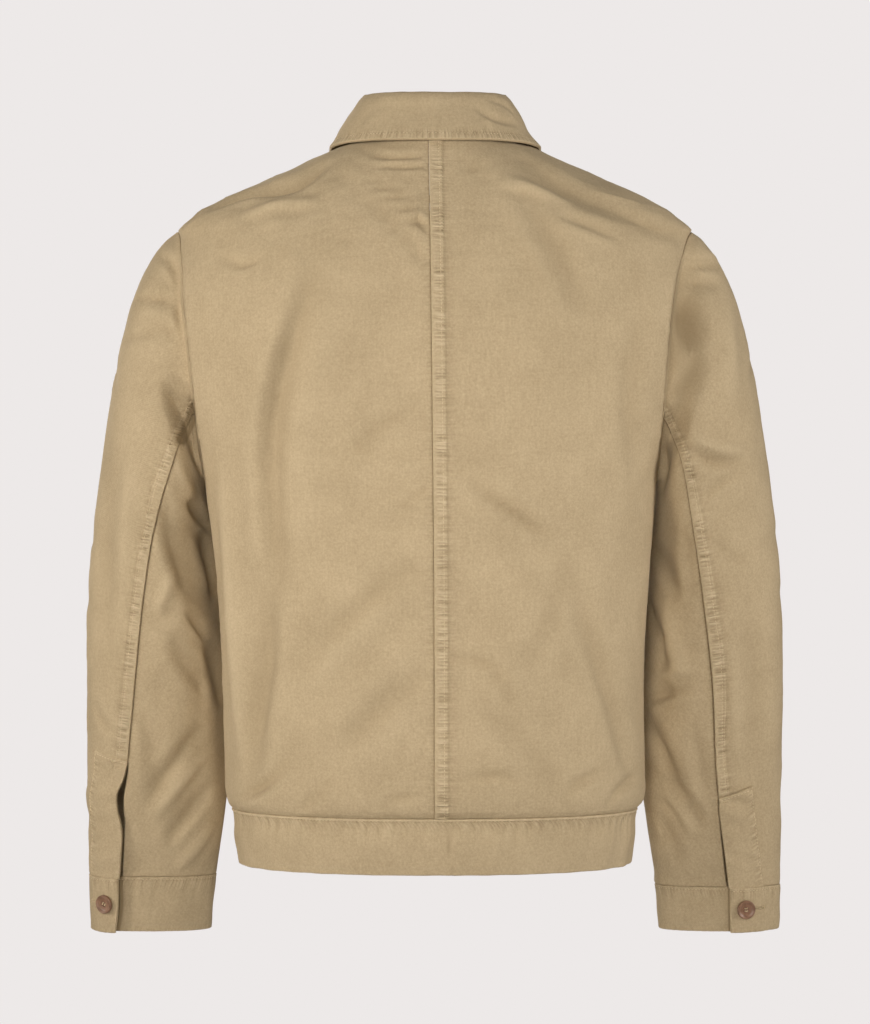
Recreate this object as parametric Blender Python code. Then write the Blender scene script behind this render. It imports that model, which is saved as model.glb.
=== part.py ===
# A cotton twill overshirt, buttoned up and filled out with nobody in it.
# Tables are in millimetres; meshes are made in metres. +Z is up, the back faces +Y
# and the wearer's left is +X. The origin is the middle of the neck opening.
import math

import bpy
import numpy as np

MM = 0.001

# Cloth
CLOTH = 1.6
BAND_CLOTH = 2.4
COLLAR_CLOTH = 2.2
SEAM_GAP = 0.3
LAY_GAP = 0.4

# Lengths up and down
HEM_Z = -641.2
BAND_TOP_Z = -592.0
UNDERARM_Z = -300.0
SHOULDER_Z = -74.5
BACK_NECK_Z = 7.0
SIDE_NECK_Z = 3.0
FRONT_NECK_Z = -62.0

# Widths
SHOULDER_X = 231.0
SIDE_NECK_X = 80.0
NECK_SHARE = 0.34
FRONT_LAP = 12.5

# Armhole
ARMHOLE_BACK = 70.0
ARMHOLE_FRONT = 64.0
ARMHOLE_FRONT_CUT = 7.0
UNDERARM_CLEAR = 1.6

# Laid seams
LAP_WIDTH = 10.5
LAP_RAISE = 1.0
LAP_SLOPE = 1.6

# Cuffs and their openings
CUFF_Z = {"left": -660.0, "right": -669.5}
CUFF_END_Z = -711.0
SLIT_TOP_Z = {"left": -552.0, "right": -583.0}
SLIT_SLANT = {"left": 9.0, "right": 11.0}
PLACKET_WIDTH = 40.0
PLACKET_CLOTH = 1.8
FREE_EDGE_RISE = {"left": 5.0, "right": 2.5}
CUFF_UNDERLAP = 26.0

# Buttons
BUTTON_RADIUS = 9.2
BUTTON_THICK = 3.2
BUTTON_HOLE_RADIUS = 0.95
BUTTON_HOLE_PITCH = 1.75
FRONT_BUTTON_Z = (-84.0, -184.0, -284.0, -384.0, -484.0, -617.0)
CUFF_BUTTON = {"left": (298.5, -684.0), "right": (282.5, -689.0)}

# z, half-width on the left, half-width on the right, depth of back, depth of front,
# squareness of the ring. The half-widths above the underarm come from the armhole.
BODY_ROWS = np.array(
    (
        (-642.0, 175.5, 175.5, 122.0, 127.0, 2.25),
        (-617.0, 179.5, 179.0, 125.0, 130.0, 2.25),
        (-592.0, 182.0, 181.5, 127.5, 132.5, 2.25),
        (-587.0, 185.0, 184.7, 131.0, 136.0, 2.25),
        (-579.0, 187.3, 187.2, 133.8, 139.0, 2.25),
        (-560.0, 188.0, 187.4, 135.5, 141.0, 2.25),
        (-505.0, 190.6, 187.6, 137.5, 143.0, 2.28),
        (-450.0, 192.8, 189.5, 139.5, 145.0, 2.3),
        (-405.0, 195.4, 192.0, 141.0, 147.0, 2.32),
        (-360.0, 199.5, 194.0, 142.0, 148.5, 2.35),
        (-300.0, 205.0, 197.5, 142.0, 149.0, 2.35),
        (-230.0, 210.0, 203.0, 140.5, 146.0, 2.35),
        (-170.0, 215.0, 208.0, 136.0, 135.0, 2.32),
        (-120.0, 222.0, 216.0, 127.5, 115.0, 2.28),
        (-74.5, 231.0, 231.0, 114.0, 88.0, 2.2),
        (-45.0, 200.0, 200.0, 100.0, 66.0, 2.15),
        (-20.0, 140.0, 140.0, 87.5, 49.0, 2.1),
        (-3.0, 94.0, 94.0, 78.0, 33.0, 2.05),
        (3.0, 80.0, 80.0, 74.0, 26.0, 2.0),
        (8.0, 72.0, 72.0, 70.0, 20.0, 2.0),
    )
)

# z and half-width along the top of the shoulder, from its point to the neck
SHOULDER_ROWS = np.array(
    (
        (-74.5, 231.0),
        (-68.5, 227.0),
        (-61.0, 218.5),
        (-46.0, 192.6),
        (-28.0, 153.5),
        (-10.0, 112.5),
        (-3.0, 94.0),
        (3.0, 80.0),
        (8.0, 71.0),
    )
)

# z and half-width of the armhole seam, on the left and on the right
ARMHOLE_ROWS = np.array(
    (
        (-300.0, 205.0, 197.5),
        (-261.0, 209.0, 199.5),
        (-231.0, 212.0, 201.6),
        (-197.0, 215.3, 204.0),
        (-169.0, 218.6, 206.5),
        (-142.0, 222.0, 210.0),
        (-116.0, 225.0, 215.5),
        (-98.0, 228.0, 222.0),
        (-74.5, 231.0, 231.0),
    )
)

# z and place across of the fold edge that runs down the middle of the back
CENTRE_ROWS = np.array(
    (
        (-592.0, 0.3),
        (-420.0, 0.6),
        (-250.0, 2.0),
        (-120.0, 3.6),
        (8.0, 5.6),
    )
)

# Sleeve rings: outer x on the left and on the right, outer z, inner x on the left and
# on the right, inner z, middle y, depth back, depth front, squareness.
# Ring 0 is the armhole and ring 17 is the end of the cuff.
SLEEVE_ROWS = np.array(
    (
        (231.0, 231.0, -74.5, 205.0, 197.5, -300.0, 0.0, 70.0, 64.0, 2.0),
        (246.3, 245.6, -85.5, 206.0, 198.5, -303.5, -6.0, 73.0, 64.0, 2.05),
        (261.5, 260.6, -106.5, 205.2, 198.0, -310.0, -14.0, 76.0, 64.0, 2.1),
        (274.0, 273.0, -140.0, 203.6, 196.9, -321.0, -19.0, 77.0, 64.0, 2.15),
        (284.4, 283.4, -180.0, 201.8, 195.8, -337.0, -23.0, 76.0, 63.0, 2.2),
        (293.3, 292.4, -225.0, 199.8, 194.4, -358.0, -27.0, 74.0, 62.0, 2.2),
        (300.8, 300.0, -272.0, 197.6, 193.2, -384.0, -31.0, 71.0, 61.0, 2.2),
        (307.8, 307.0, -321.0, 195.3, 191.9, -413.0, -34.0, 67.0, 60.0, 2.2),
        (313.3, 312.4, -370.0, 193.4, 190.2, -444.0, -37.0, 62.0, 58.0, 2.2),
        (316.6, 315.8, -419.0, 192.0, 189.0, -477.0, -41.0, 57.0, 54.0, 2.2),
        (318.2, 317.4, -465.0, 190.9, 188.0, -510.0, -46.0, 52.0, 50.0, 2.2),
        (318.7, 318.0, -509.0, 190.0, 187.4, -541.0, -52.0, 48.0, 46.0, 2.2),
        (318.8, 318.1, -550.0, 189.8, 188.8, -571.0, -58.0, 44.0, 43.0, 2.2),
        (318.8, 318.1, -588.0, 192.8, 192.8, -601.0, -64.0, 40.0, 39.0, 2.2),
        (318.8, 318.1, -624.0, 197.0, 197.0, -630.0, -69.0, 36.5, 36.0, 2.2),
        (318.6, 318.0, -656.5, 201.6, 201.6, -659.0, -74.0, 33.5, 33.0, 2.2),
        (318.3, 318.0, -684.0, 204.6, 204.6, -685.0, -78.0, 32.0, 32.0, 2.2),
        (317.6, 317.4, -711.0, 207.2, 207.2, -711.0, -81.0, 31.0, 31.0, 2.2),
    )
)
CUFF_END_RING = 17.0

# Ring, and how far round from the outside the sleeve's seam is, left and right, in degrees
SLEEVE_SEAM_ROWS = np.array(
    (
        (0.0, 104.0, 111.0),
        (2.0, 103.0, 111.0),
        (4.0, 99.0, 108.0),
        (6.0, 93.0, 105.0),
        (8.0, 86.0, 102.0),
        (10.0, 80.0, 99.0),
        (12.0, 73.0, 95.0),
        (14.0, 68.0, 92.0),
        (17.0, 64.0, 89.0),
    )
)

# Wide soft hollows in the sleeves: side, ring, degrees round, half-length in rings,
# half-width in degrees, lean in degrees per ring, depth
SLEEVE_HOLLOWS = (
    ("left", 5.2, 134.0, 2.0, 21.0, -6.0, 8.0),
    ("left", 8.6, 142.0, 2.2, 20.0, -3.0, 8.0),
    ("left", 11.6, 128.0, 1.6, 16.0, -6.0, 5.0),
    ("left", 4.6, 236.0, 2.4, 20.0, 7.0, 7.0),
    ("left", 9.5, 258.0, 1.6, 24.0, 12.0, 5.5),
    ("right", 5.6, 139.0, 2.4, 20.0, -5.0, 7.5),
    ("right", 9.0, 146.0, 2.0, 20.0, -3.0, 8.0),
    ("right", 12.2, 138.0, 1.8, 18.0, -9.0, 6.0),
    ("right", 4.9, 232.0, 2.2, 20.0, 7.0, 7.0),
    ("right", 9.0, 262.0, 1.6, 22.0, 11.0, 5.5),
)

# Fold of the collar from the middle of the back (0) past the side (1) to the front (2)
COLLAR_FOLD_ROWS = np.array(
    (
        (0.0, 0.0, 59.0, 43.8),
        (0.35, 34.5, 51.0, 44.6),
        (0.7, 56.0, 27.0, 45.6),
        (1.0, 60.6, 0.0, 45.0),
        (1.25, 60.5, -24.0, 24.0),
        (1.5, 52.0, -46.0, -5.0),
        (1.75, 30.5, -63.0, -26.0),
        (2.0, 1.2, -71.0, -36.0),
    )
)

# Free edge of the collar at the front: station, x and z on the front of the body
COLLAR_EDGE_ROWS = np.array(
    (
        (1.0, 95.5, -3.6),
        (1.2, 99.5, -17.5),
        (1.4, 98.0, -37.0),
        (1.6, 88.0, -60.0),
        (1.8, 69.0, -82.0),
        (2.0, 46.0, -98.0),
    )
)
COLLAR_EDGE_BACK_Z = -3.0
COLLAR_EDGE_SIDE_Z = -3.6
COLLAR_OFF_BODY = 3.4

KHAKI = (0.502, 0.376, 0.219, 1.0)
BROWN = (0.240, 0.144, 0.080, 1.0)


def curve(rows, column, at):
    x = rows[:, 0]
    y = rows[:, column]
    step = np.diff(x)
    rise = np.diff(y) / step
    slope = np.empty(len(x))
    slope[0] = rise[0]
    slope[-1] = rise[-1]
    slope[1:-1] = (step[1:] * rise[:-1] + step[:-1] * rise[1:]) / (step[1:] + step[:-1])
    at = np.clip(np.asarray(at, float), x[0], x[-1])
    i = np.clip(np.searchsorted(x, at, side="right") - 1, 0, len(x) - 2)
    t = (at - x[i]) / step[i]
    return (
        y[i] * (1 + 2 * t) * (1 - t) ** 2
        + slope[i] * step[i] * t * (1 - t) ** 2
        + y[i + 1] * t**2 * (3 - 2 * t)
        + slope[i + 1] * step[i] * t**2 * (t - 1)
    )


def eased(t):
    t = np.clip(t, 0, 1)
    return t * t * (3 - 2 * t)


def mix(a, b, t):
    return a + (b - a) * t


def signed_power(value, power):
    return np.sign(value) * np.abs(value) ** power


def unit(vectors):
    return vectors / np.maximum(np.linalg.norm(vectors, axis=-1, keepdims=True), 1e-9)


# ---- the body's rings ----


def squareness(z):
    return curve(BODY_ROWS, 5, z)


def depth(face, z):
    return curve(BODY_ROWS, 3 if face == "back" else 4, z)


def armhole_round(z):
    middle = (UNDERARM_Z + SHOULDER_Z) / 2
    half = (SHOULDER_Z - UNDERARM_Z) / 2
    return np.sqrt(np.clip(1 - ((z - middle) / half) ** 2, 0, 1))


def armhole_x(side, face, z):
    across = curve(ARMHOLE_ROWS, 1 if side == "left" else 2, z)
    cut = ARMHOLE_FRONT_CUT if face == "front" else 0.0
    return across - cut * armhole_round(z) ** 2


def armhole_y(face, z):
    reach = ARMHOLE_BACK if face == "back" else ARMHOLE_FRONT
    return reach * armhole_round(z) ** 1.2


def half_width(side, face, z):
    """Half-width of the whole ring at this height, as if the armhole weren't cut from it."""
    z = np.asarray(z, float)
    below = curve(BODY_ROWS, 1 if side == "left" else 2, z)
    above = curve(SHOULDER_ROWS, 1, z)
    n = squareness(z)
    share = np.clip(armhole_y(face, z) / depth(face, z), 0, 0.98)
    beside = armhole_x(side, face, z) / (1 - share**n) ** (1 / n)
    return np.where(z <= UNDERARM_Z, below, np.where(z >= SHOULDER_Z, above, beside))


def body_y(side, face, x, z):
    n = squareness(z)
    share = np.clip(np.abs(x) / half_width(side, face, z), 0, 1)
    away = depth(face, z) * (1 - share**n) ** (1 / n)
    away = np.maximum(away, SEAM_GAP / 2)
    return away if face == "back" else -away


def body_normal(side, face, x, y, z):
    def outside(x, y, z):
        n = squareness(z)
        across = np.abs(x) / half_width(side, face, z)
        return across**n + (np.abs(y) / depth(face, z)) ** n

    e = 0.05
    gradient = np.stack(
        (
            outside(x + e, y, z) - outside(x - e, y, z),
            outside(x, y + e, z) - outside(x, y - e, z),
            outside(x, y, z + e) - outside(x, y, z - e),
        ),
        axis=-1,
    )
    return unit(gradient)


# ---- the sleeve's rings ----


def sleeve_raw(side, ring, turn):
    ring, turn = np.broadcast_arrays(np.asarray(ring, float), np.asarray(turn, float))
    rows = np.column_stack((np.arange(len(SLEEVE_ROWS)), SLEEVE_ROWS))
    outer_x = curve(rows, 1 if side == "left" else 2, ring)
    inner_x = curve(rows, 4 if side == "left" else 5, ring)
    outer_z, inner_z, middle_y, back, front, n = (
        curve(rows, k, ring) for k in (3, 6, 7, 8, 9, 10)
    )
    along = signed_power(np.cos(turn), 2 / n)
    across = signed_power(np.sin(turn), 2 / n)
    x = (outer_x + inner_x) / 2 + (outer_x - inner_x) / 2 * along
    z = (outer_z + inner_z) / 2 + (outer_z - inner_z) / 2 * along
    y = middle_y + np.where(across > 0, back, front) * across
    level = (UNDERARM_Z + SHOULDER_Z) / 2 + (SHOULDER_Z - UNDERARM_Z) / 2 * np.cos(turn)
    lowest = float(curve(ARMHOLE_ROWS, 1 if side == "left" else 2, UNDERARM_Z))
    straight = mix(lowest, SHOULDER_X, (1 + np.cos(turn)) / 2)
    bow = np.where(
        np.sin(turn) > 0,
        armhole_x(side, "back", level),
        armhole_x(side, "front", level),
    ) - straight
    x = x + bow * eased(1 - ring / 4.5)
    cut = np.where(np.sin(turn) > 0, armhole_y("back", level), -armhole_y("front", level))
    oval = np.where(np.sin(turn) > 0, ARMHOLE_BACK, ARMHOLE_FRONT) * np.sin(turn)
    y = y + (cut - oval) * eased(1 - ring / 3.0)
    beside_body = eased((-np.cos(turn) - 0.2) / 0.6)
    x = x + UNDERARM_CLEAR * beside_body * eased(ring / 0.6) * eased((5.0 - ring) / 3.0)
    return np.stack((x, y, z), axis=-1)


def hollow(side, ring, turn):
    degrees = np.degrees(turn) % 360
    total = np.zeros(np.broadcast(ring, turn).shape)
    for where, at_ring, at_turn, long, wide, lean, deep in SLEEVE_HOLLOWS:
        if where != side:
            continue
        along = (ring - at_ring) / long
        across = (degrees - at_turn - lean * (ring - at_ring)) / wide
        total = total + deep * np.exp(-(along**2) * 1.2 - across**2 * 1.2)
    return total * eased(ring / 2.0) * eased((15.0 - ring) / 2.0)


def sleeve_normal_raw(side, ring, turn):
    e = 0.01
    round_by = sleeve_raw(side, ring, turn + e) - sleeve_raw(side, ring, turn - e)
    low = np.minimum(ring + e, CUFF_END_RING)
    high = np.maximum(ring - e, 0.0)
    down_by = sleeve_raw(side, low, turn) - sleeve_raw(side, high, turn)
    return unit(np.cross(down_by, round_by))


def sleeve_point(side, ring, turn):
    normal = sleeve_normal_raw(side, ring, turn)
    return sleeve_raw(side, ring, turn) - normal * hollow(side, ring, turn)[..., None]


def sleeve_normal(side, ring, turn):
    e = 0.01
    round_by = sleeve_point(side, ring, turn + e) - sleeve_point(side, ring, turn - e)
    low = np.minimum(ring + e, CUFF_END_RING)
    high = np.maximum(ring - e, 0.0)
    down_by = sleeve_point(side, low, turn) - sleeve_point(side, high, turn)
    return unit(np.cross(down_by, round_by))


def ring_at_height(side, z, turn):
    """The ring that passes this height at this place round the sleeve."""
    z, turn = np.broadcast_arrays(np.asarray(z, float), np.asarray(turn, float))
    low = np.full(z.shape, 8.0)
    high = np.full(z.shape, CUFF_END_RING)
    for _ in range(18):
        middle = (low + high) / 2
        above = sleeve_raw(side, middle, turn)[..., 2] > z
        low = np.where(above, middle, low)
        high = np.where(above, high, middle)
    return (low + high) / 2


def seam_turn(side, ring):
    return np.radians(curve(SLEEVE_SEAM_ROWS, 1 if side == "left" else 2, ring))


def turn_for(side, ring, turn, length):
    """The angle that this length takes up round the sleeve there."""
    e = 0.01
    span = np.linalg.norm(
        sleeve_point(side, ring, turn + e) - sleeve_point(side, ring, turn - e), axis=-1
    )
    return length * 2 * e / span


# ---- meshes ----


def shell(name, outer, normals, thick, material, raised=None):
    """A closed wall between a grid of points and the same grid moved in by its thickness."""
    rows, columns = outer.shape[:2]
    thick = np.broadcast_to(np.asarray(thick, float), (rows, columns))
    inner = outer - normals * thick[..., None]
    if raised is not None:
        outer = outer + normals * raised[..., None]
    points = np.concatenate((outer.reshape(-1, 3), inner.reshape(-1, 3))) * MM
    count = rows * columns

    def at(i, j):
        return i * columns + j

    faces = []
    for i in range(rows - 1):
        for j in range(columns - 1):
            a, b, c, d = at(i, j), at(i, j + 1), at(i + 1, j + 1), at(i + 1, j)
            if np.linalg.norm(points[a] - points[c]) <= np.linalg.norm(points[b] - points[d]):
                halves = ((a, b, c), (a, c, d))
            else:
                halves = ((a, b, d), (b, c, d))
            for p, q, r in halves:
                faces.append((p, q, r))
                faces.append((r + count, q + count, p + count))
    def close(edge):
        for a, b in zip(edge[:-1], edge[1:]):
            faces.append((b, a, a + count))
            faces.append((b, a + count, b + count))

    close([at(0, j) for j in range(columns)])
    close([at(rows - 1, j) for j in reversed(range(columns))])
    close([at(i, columns - 1) for i in range(rows)])
    for i in range(rows - 1):
        a, b = at(i, 0), at(i + 1, 0)
        faces.append((a, b, a + count))
        faces.append((b, b + count, a + count))
    middle = points[:count].reshape(rows, columns, 3)
    way = np.cross(middle[1:, :-1] - middle[:-1, :-1], middle[:-1, 1:] - middle[:-1, :-1])
    if (way * normals[:-1, :-1]).sum() > 0:
        faces = [face[::-1] for face in faces]
    mesh = bpy.data.meshes.new(name)
    mesh.from_pydata(points.tolist(), [], faces)
    mesh.validate()
    thing = bpy.data.objects.new(name, mesh)
    garment.objects.link(thing)
    mesh.materials.append(material)
    mesh.shade_smooth()
    return thing


def new_material(name, colour, roughness):
    material = bpy.data.materials.new(name)
    material.use_nodes = True
    surface = material.node_tree.nodes["Principled BSDF"]
    surface.inputs["Base Color"].default_value = colour
    surface.inputs["Roughness"].default_value = roughness
    return material


# ---- the body's panels ----


def neck_line(face, share):
    """x and z of the neck seam, from the middle (0) to the shoulder seam (1)."""
    share = np.asarray(share, float)
    if face == "back":
        z = BACK_NECK_Z - (BACK_NECK_Z - SIDE_NECK_Z) * share**2
        x = curve(SHOULDER_ROWS, 1, z) * np.sin(share * math.pi / 2) ** 0.97
    else:
        z = SIDE_NECK_Z + (FRONT_NECK_Z - SIDE_NECK_Z) * np.cos(share * math.pi / 2)
        x = SIDE_NECK_X * np.sin(share * math.pi / 2)
    return x, z


def top_line(face, share):
    """x and z of a panel's top: its neck seam, then its shoulder seam."""
    share = np.asarray(share, float)
    neck_x, neck_z = neck_line(face, np.clip(share / NECK_SHARE, 0, 1))
    out = np.clip((share - NECK_SHARE) / (1 - NECK_SHARE), 0, 1)
    by_x = SHOULDER_ROWS[::-1, ::-1]
    z = curve(by_x, 1, mix(SIDE_NECK_X, SHOULDER_X, out))
    x = curve(SHOULDER_ROWS, 1, z)
    on_neck = share < NECK_SHARE
    return np.where(on_neck, neck_x, x), np.where(on_neck, neck_z, z)


LOWER_Z = (-591.85, -586.5, -579.0, -560.0, -520.0, -475.0, -430.0, -385.0, -340.0)
NECK_COLUMNS = 6
SHOULDER_COLUMNS = 6


def armhole_turns(side):
    """Angles of the points on the armhole seam, from the sleeve's seam over the shoulder."""
    begin = float(seam_turn(side, 0.0))
    strip = float(turn_for(side, 0.0, begin, LAP_WIDTH))
    ramp = float(turn_for(side, 0.0, begin, LAP_SLOPE))
    over = np.linspace(begin - strip - ramp, 0, 7)
    front = np.linspace(0, -math.pi, 12)[1:]
    back = np.linspace(-math.pi, begin - 2 * math.pi, 5)[1:]
    return np.concatenate(((begin, begin - strip), over, front, back))


def armhole_steps(side, face):
    """How far up the armhole's height each row of a panel meets it."""
    turns = np.delete(armhole_turns(side), 2)
    if face == "back":
        turns = turns[(turns >= 0) | (turns <= -math.pi)]
    else:
        turns = turns[(turns <= 0) & (turns >= -math.pi)]
    return np.unique(np.round((1 + np.cos(turns)) / 2, 9))


def panel_grid(side, face, start, extra):
    """x, y and z of a panel in the side's own x, which grows from the middle outwards.

    start(z) is its edge at the middle, and extra lists columns this far from that edge."""
    shares = np.concatenate(
        (
            np.linspace(0, NECK_SHARE, NECK_COLUMNS + 1),
            np.linspace(NECK_SHARE, 1, SHOULDER_COLUMNS + 1)[1:],
        )
    )
    levels = [(z, None) for z in LOWER_Z]
    levels += [(UNDERARM_Z, step) for step in armhole_steps(side, face)]
    begin = extra[-1] if extra else 0.0
    grid_x, grid_z = [], []
    for level, up in levels:
        n = squareness(level)
        edge = start(level) + begin
        wide = half_width(side, face, level)
        first = np.arcsin(np.clip(signed_power(edge / wide, n / 2), -1, 1))
        x = wide * signed_power(np.sin(mix(first, math.pi / 2, shares)), 2 / n)
        z = np.full(len(shares), level)
        if up is not None:
            top_x, top_z = top_line(face, shares)
            top_x[0] = start(top_z[0]) + begin
            z = mix(UNDERARM_Z, top_z, up)
            x = mix(x, top_x, up)
            fit = armhole_x(side, face, z[-1]) / x[-1]
            x = x * (1 + (fit - 1) * shares**2)
        if extra:
            near = np.array([start(z[0]) + gap for gap in (0.0,) + extra[:-1]])
            x = np.concatenate((near, x))
            z = np.concatenate((np.full(len(near), z[0]), z))
        grid_x.append(x)
        grid_z.append(z)
    x = np.array(grid_x)
    z = np.array(grid_z)
    y = body_y(side, face, x, z)
    return x, y, z


def blended_armhole(own, other):
    """Where two walls meet at the armhole on a bend, both rims lean the same way."""
    agree = (own * other).sum(axis=-1, keepdims=True)
    return unit(own + other * eased((agree - 0.1) / 0.6))


def panel(name, side, face, start, extra, lap, under, material):
    x, y, z = panel_grid(side, face, start, extra)
    normals = body_normal(side, face, x, y, z)
    rows = len(LOWER_Z)
    middle = (UNDERARM_Z + SHOULDER_Z) / 2
    half = (SHOULDER_Z - UNDERARM_Z) / 2
    for i in range(rows, x.shape[0]):
        turn = math.acos(np.clip((z[i, -1] - middle) / half, -1, 1))
        if face == "front":
            turn = -turn
        other = sleeve_normal(side, np.array(0.0), np.array(turn))
        normals[i, -1] = blended_armhole(normals[i, -1], other)
    away = x - x[:, :1]
    raised = LAP_RAISE * eased((LAP_WIDTH + LAP_SLOPE - away) / LAP_SLOPE) if lap else None
    outer = np.stack((x, y, z), axis=-1)
    if under:
        sunk = (CLOTH + LAY_GAP) * eased((34.0 - x) / 16.0)
        outer = outer - normals * sunk[..., None]
    if side == "right":
        outer = outer * (-1, 1, 1)
        normals = normals * (-1, 1, 1)
    return shell(name, outer, normals, CLOTH, material, raised)


def centre_left(z):
    return float(curve(CENTRE_ROWS, 1, z)) + SEAM_GAP / 2


def centre_right(z):
    return -float(curve(CENTRE_ROWS, 1, z)) + SEAM_GAP / 2


def front_edge(z):
    return -FRONT_LAP


# ---- the hem band ----


def hem_band(material):
    """One strip from the lap on the left round the back to the underlap on the right."""
    quarter = np.linspace(0, 1, 13)
    stations = []
    for share in quarter[:-1]:
        stations.append(("left", "front", -FRONT_LAP, share))
    for share in quarter[::-1][:-1]:
        stations.append(("left", "back", 0.0, share))
    for share in quarter[:-1]:
        stations.append(("right", "back", 0.0, share))
    for share in quarter[::-1]:
        stations.append(("right", "front", -FRONT_LAP, share))
    levels = (BAND_TOP_Z - 0.3, BAND_TOP_Z - 4.0, -617.0, HEM_Z + 3.0, HEM_Z)
    tucks = (0.0, -0.6, -0.6, -0.4, 0.9)
    outer = np.empty((len(levels), len(stations), 3))
    normals = np.empty_like(outer)
    for i, (z, tuck) in enumerate(zip(levels, tucks)):
        n = float(squareness(z))
        for j, (side, face, begin, share) in enumerate(stations):
            wide = float(half_width(side, face, z))
            first = math.asin(signed_power(begin / wide, n / 2))
            across = wide * float(signed_power(math.sin(mix(first, math.pi / 2, share)), 2 / n))
            y = float(body_y(side, face, across, z))
            if share == 1.0:
                y = 0.0
            normal = body_normal(side, face, np.array(across), np.array(y), np.array(z))
            sunk = tuck
            if side == "right" and face == "front":
                sunk = tuck + (BAND_CLOTH + LAY_GAP) * float(eased((40.0 - across) / 20.0))
            flip = -1.0 if side == "right" else 1.0
            point = np.array((across, y, z)) - normal * sunk
            outer[i, j] = point * (flip, 1, 1)
            normals[i, j] = normal * (flip, 1, 1)
    return shell("hem_band", outer, normals, BAND_CLOTH, material)


# ---- the sleeves ----


def sleeve(side, material):
    seam_ring = ring_at_height(side, CUFF_Z[side], float(seam_turn(side, 15.0)))
    rings = np.concatenate(
        (
            (0.0, 0.5, 1.0, 1.7, 2.5, 3.2),
            np.arange(4.0, 15.0, 0.72),
        )
    )
    rings = rings[rings < seam_ring - 0.35]
    rings = np.append(rings, seam_ring)
    slit_ring = ring_at_height(side, SLIT_TOP_Z[side], float(seam_turn(side, 12.5)))
    first_turns = armhole_turns(side)[2:]
    shares = (first_turns - first_turns[0]) / (first_turns[-1] - first_turns[0])
    outer, raised, normals = [], [], []
    for ring in rings:
        begin = float(seam_turn(side, ring))
        gap = float(turn_for(side, ring, begin, SEAM_GAP / 2))
        strip = float(turn_for(side, ring, begin, LAP_WIDTH))
        ramp = float(turn_for(side, ring, begin, LAP_SLOPE))
        rest = mix(begin - strip - ramp, begin - 2 * math.pi, shares)
        rest[-1] += gap
        turns = np.concatenate(((begin - gap, begin - strip), rest))
        at_ring = level_ring(side, ring, seam_ring, turns)
        points = sleeve_point(side, at_ring, turns)
        facing = sleeve_normal(side, at_ring, turns)
        if ring == 0.0:
            facing = leaning(side, turns, facing)
            points = points + np.array((0.8, 0.0, -0.6)) * (SEAM_GAP + 0.1)
        outer.append(points)
        normals.append(facing)
        lap = np.zeros(len(turns))
        lap[:2] = LAP_RAISE * float(eased((slit_ring - ring) / 0.5) * eased(ring / 0.5))
        raised.append(lap)
    outer = np.array(outer)
    normals = np.array(normals)
    if side == "right":
        outer = outer * (-1, 1, 1)
        normals = normals * (-1, 1, 1)
    return shell("sleeve_" + side, outer, normals, CLOTH, material, np.array(raised))


def level_ring(side, ring, seam_ring, turns):
    """Rings near the cuff turn level, so that the cuff seam is at one height all round."""
    down = eased((ring - seam_ring + 2.5) / 2.5)
    if down <= 0:
        return np.full(len(turns), ring)
    at_level = ring_at_height(side, CUFF_Z[side] + SEAM_GAP / 2, turns)
    return ring + (at_level - seam_ring) * down


def leaning(side, turns, facing):
    middle = (UNDERARM_Z + SHOULDER_Z) / 2
    half = (SHOULDER_Z - UNDERARM_Z) / 2
    z = middle + half * np.cos(turns)
    found = np.empty_like(facing)
    for k, turn in enumerate(turns):
        face = "back" if math.sin(turn) > 0 else "front"
        x = armhole_x(side, face, z[k])
        y = body_y(side, face, x, z[k])
        other = body_normal(side, face, np.array(x), np.array(y), np.array(z[k]))
        found[k] = blended_armhole(facing[k], other)
    return found


def free_turn(side, ring):
    return seam_turn(side, ring)


def lifted(side, ring, turns):
    """How far the overlapping end stands off the sleeve, most at its free edge."""
    begin = free_turn(side, ring)
    edge = turn_for(side, ring, begin, PLACKET_WIDTH)
    near = eased((turns - (begin - edge)) / edge)
    return near * FREE_EDGE_RISE[side]


def placket(side, material):
    """The band along the outer side of the cuff's opening, from its slanted top to the cuff."""
    down, share = np.meshgrid(np.linspace(0, 1, 9), np.linspace(0, 1, 7), indexing="ij")
    z = mix(SLIT_TOP_Z[side] + SLIT_SLANT[side] * share, CUFF_Z[side] + SEAM_GAP / 2, down)
    turn = np.full(z.shape, float(free_turn(side, 15.0)))
    for _ in range(4):
        ring = ring_at_height(side, z, turn)
        begin = free_turn(side, ring)
        turn = begin - share * turn_for(side, ring, begin, PLACKET_WIDTH)
    ring = ring_at_height(side, z, turn)
    normals = sleeve_normal(side, ring, turn)
    rise = lifted(side, ring, turn) * eased(down / 0.8)
    outer = sleeve_point(side, ring, turn)
    outer = outer + normals * (LAY_GAP + PLACKET_CLOTH + rise)[..., None]
    if side == "right":
        outer = outer * (-1, 1, 1)
        normals = normals * (-1, 1, 1)
    return shell("placket_" + side, outer, normals, PLACKET_CLOTH, material)


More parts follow.
